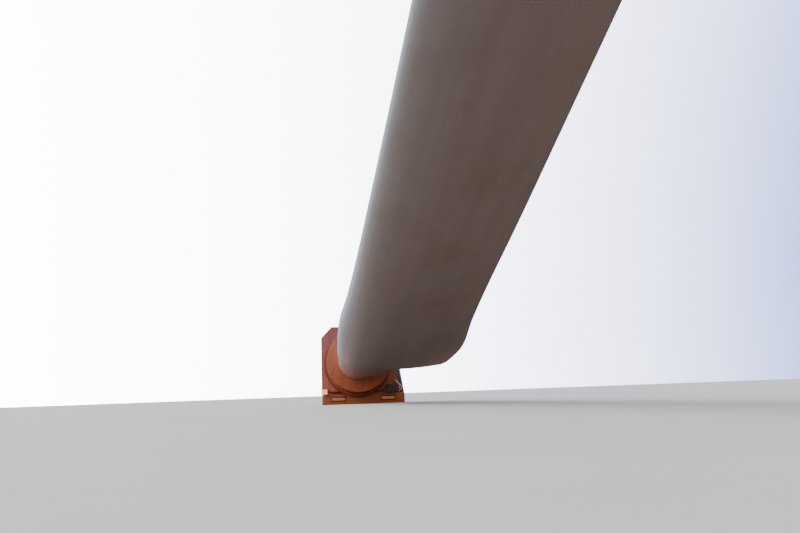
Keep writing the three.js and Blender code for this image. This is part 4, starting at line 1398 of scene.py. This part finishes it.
class HOLDER_OT_lift_cylinders(bpy.types.Operator):
    """Builds the two lift cylinders: barrels, glands, rods and eyes"""

    bl_idname = "root_holder.lift_cylinders"
    bl_label = "Lift Cylinders"

    def execute(self, context):
        for side, _ in SIDES:
            low, high = box_in(f"{side}_lift_barrel", PLACES[f"{side}_barrel"])
            middle = (low.x + high.x) / 2
            end = low.y
            solids = [
                turned([(GLAND, end), (0.100, end), (0.106, end + 0.03), (HEAD, end + 0.032),
                        (HEAD, end + 0.10), (TUBE, end + 0.105), (TUBE, -0.21), (HEAD, -0.205),
                        (HEAD, -0.15), (NECK, -0.148), (NECK, -0.11), (GLAND, -0.11)], 64),
                turned(eased(CYLINDER_PIN + LOOSE, EYE, -EYE_HALF, EYE_HALF), 56, axis="X"),
                ring(0, NECK, -0.09, -0.152, 40),
                painted(rod(0.006, (0, EYE - 0.004, 0), (0, EYE + 0.014, 0), 8))]
            for y in (-0.27, end + 0.16):
                solids += [block((-0.032, y - 0.035, 0.10), (0.032, y + 0.035, 0.145), 0.004),
                           nut(0.020, (0, y, 0.144), (0, y, 0.165))]
            piece(f"{side}_cylinder_barrel", solids,
                  ("orange_paint", "orange_paint_worn", "zinc_bolts", "charcoal_paint"),
                  f"{side}_barrel", f"{side}_lift_barrel")

            low, high = box_in(f"{side}_lift_rod", PLACES[f"{side}_rod"])
            centre = low.y + EYE
            end_eye = turned(eased(0, EYE, -EYE_HALF, EYE_HALF), 56, axis="X")
            solids = [
                turned([(0, centre + 0.11), (NECK, centre + 0.11), (NECK, centre + 0.17),
                        (ROD, centre + 0.18), (ROD, high.y - 0.004), (ROD - 0.004, high.y),
                        (0, high.y)], 56),
                painted(ring(0, NECK, centre + 0.09, centre + 0.112, 40)),
                painted(moved(end_eye, (middle, centre, 0)))]
            piece(f"{side}_cylinder_rod", solids,
                  ("hard_chrome", "hard_chrome", "charcoal_paint"), f"{side}_rod",
                  f"{side}_lift_rod", slot="chrome")
        return {"FINISHED"}


# Stage


def soft_sun(name, towards, strength, spread, color):
    """A sun lamp that shines from a direction, with a spread in degrees."""
    data = bpy.data.lights.new(name, "SUN")
    data.energy = strength
    data.angle = math.radians(spread)
    data.color = color
    light = bpy.data.objects.new(name, data)
    bpy.context.scene.collection.objects.link(light)
    light.rotation_euler = Vector(towards).to_track_quat("Z", "Y").to_euler()


def split_rays(tree, light, seen):
    """One colour for the light that goes to other things and one for what the camera sees."""
    ray = wire(tree, "ShaderNodeLightPath")
    return blend(tree, ray.outputs["Is Camera Ray"], light, seen)


class HOLDER_OT_stage(bpy.types.Operator):
    """Builds the floor, the background, the lights and the camera"""

    bl_idname = "root_holder.stage"
    bl_label = "Stage"

    def execute(self, context):
        scene = context.scene
        stage = scene.root_holder_stage
        ground = bmesh.new()
        bmesh.ops.create_grid(ground, x_segments=4, y_segments=4, size=600)
        mesh = bpy.data.meshes.new("floor")
        ground.to_mesh(mesh)
        ground.free()
        floor = bpy.data.objects.new("floor", mesh)
        scene.collection.objects.link(floor)
        tree, shader, spot = shader_of("floor")
        seen = blend(tree, noise(tree, spot, 0.6, 5.0), rgba(stage.floor, 0.94),
                     rgba(stage.floor, 1.04))
        to_left = band(tree, part_of(tree, spot, "X"), -2.0, -24.0)
        bounce = blend(tree, to_left, (0.150, 0.090, 0.064, 1.0), (0.52, 0.54, 0.60, 1.0))
        fill(shader, {"Base Color": split_rays(tree, bounce, seen), "Roughness": 0.9})
        mesh.materials.append(MATERIALS["floor"])

        world = bpy.data.worlds.new("studio")
        world.use_nodes = True
        scene.world = world
        tree = world.node_tree
        across = part_of(tree, wire(tree, "ShaderNodeTexCoord").outputs["Generated"], "X")
        light = blend(tree, band(tree, across, 1.0, -1.0), (0.32, 0.33, 0.37, 1.0),
                      (0.84, 0.92, 1.06, 1.0))
        seen = blend(tree, band(tree, across, 0.65, -0.40), (1.00, 1.25, 2.6, 1.0),
                     rgba(stage.backdrop, 15.0))
        fill(tree.nodes["Background"], {"Color": split_rays(tree, light, seen), "Strength": 1.0})

        soft_sun("high_sun", (-0.60, 0.50, 0.62), 1.7, 25, (1.0, 0.98, 0.95))
        soft_sun("front_sun", (-0.60, -0.47, 0.65), 1.05, 50, (1.0, 0.96, 0.92))
        soft_sun("side_sun", (-1.0, -0.12, 0.22), 1.22, 50, (0.82, 0.92, 1.0))

        data = bpy.data.cameras.new("camera")
        data.sensor_width = 36
        data.lens = stage.lens
        data.clip_start = 0.05
        data.clip_end = 2000
        camera = bpy.data.objects.new("camera", data)
        scene.collection.objects.link(camera)
        look = (Matrix.Rotation(-stage.camera_heading, 4, "Z")
                @ Matrix.Rotation(math.pi / 2 + stage.camera_pitch, 4, "X")
                @ Matrix.Rotation(stage.camera_roll, 4, "Z"))
        camera.matrix_world = Matrix.Translation(stage.camera_place) @ look
        scene.camera = camera
        return {"FINISHED"}


class HOLDER_PT_panel(bpy.types.Panel):
    """Lists the steps that build the blade and its holder"""

    bl_label = "Root Holder"
    bl_idname = "HOLDER_PT_panel"
    bl_space_type = "VIEW_3D"
    bl_region_type = "UI"
    bl_category = "Root Holder"

    def draw(self, context):
        column = self.layout.column(align=True)
        for step in STEPS:
            column.operator(step.bl_idname)


STEPS = (
    HOLDER_OT_blade_skin, HOLDER_OT_blade_trim, HOLDER_OT_drum, HOLDER_OT_bearing,
    HOLDER_OT_tilt_plate, HOLDER_OT_pivot_arms, HOLDER_OT_lift_lugs, HOLDER_OT_turn_drives,
    HOLDER_OT_valve_box, HOLDER_OT_base_beams, HOLDER_OT_pivot_brackets,
    HOLDER_OT_cylinder_brackets, HOLDER_OT_lamps, HOLDER_OT_lift_cylinders, HOLDER_OT_stage,
)
CLASSES = (BladeSettings, HolderSettings, StageSettings, *STEPS, HOLDER_PT_panel)


def register():
    for cls in CLASSES:
        bpy.utils.register_class(cls)
    bpy.types.Scene.root_holder_blade = PointerProperty(type=BladeSettings)
    bpy.types.Scene.root_holder_frame = PointerProperty(type=HolderSettings)
    bpy.types.Scene.root_holder_stage = PointerProperty(type=StageSettings)


def unregister():
    del bpy.types.Scene.root_holder_stage
    del bpy.types.Scene.root_holder_frame
    del bpy.types.Scene.root_holder_blade
    for cls in reversed(CLASSES):
        bpy.utils.unregister_class(cls)


def clear_default_scene():
    for name in ("Cube", "Light", "Camera"):
        thing = bpy.data.objects.get(name)
        if thing and "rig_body" not in thing:
            bpy.data.objects.remove(thing)


def main():
    clear_default_scene()
    register()
    make_materials()
    for step in STEPS:
        group, call = step.bl_idname.split(".")
        getattr(getattr(bpy.ops, group), call)()


if __name__ == "__main__":
    main()
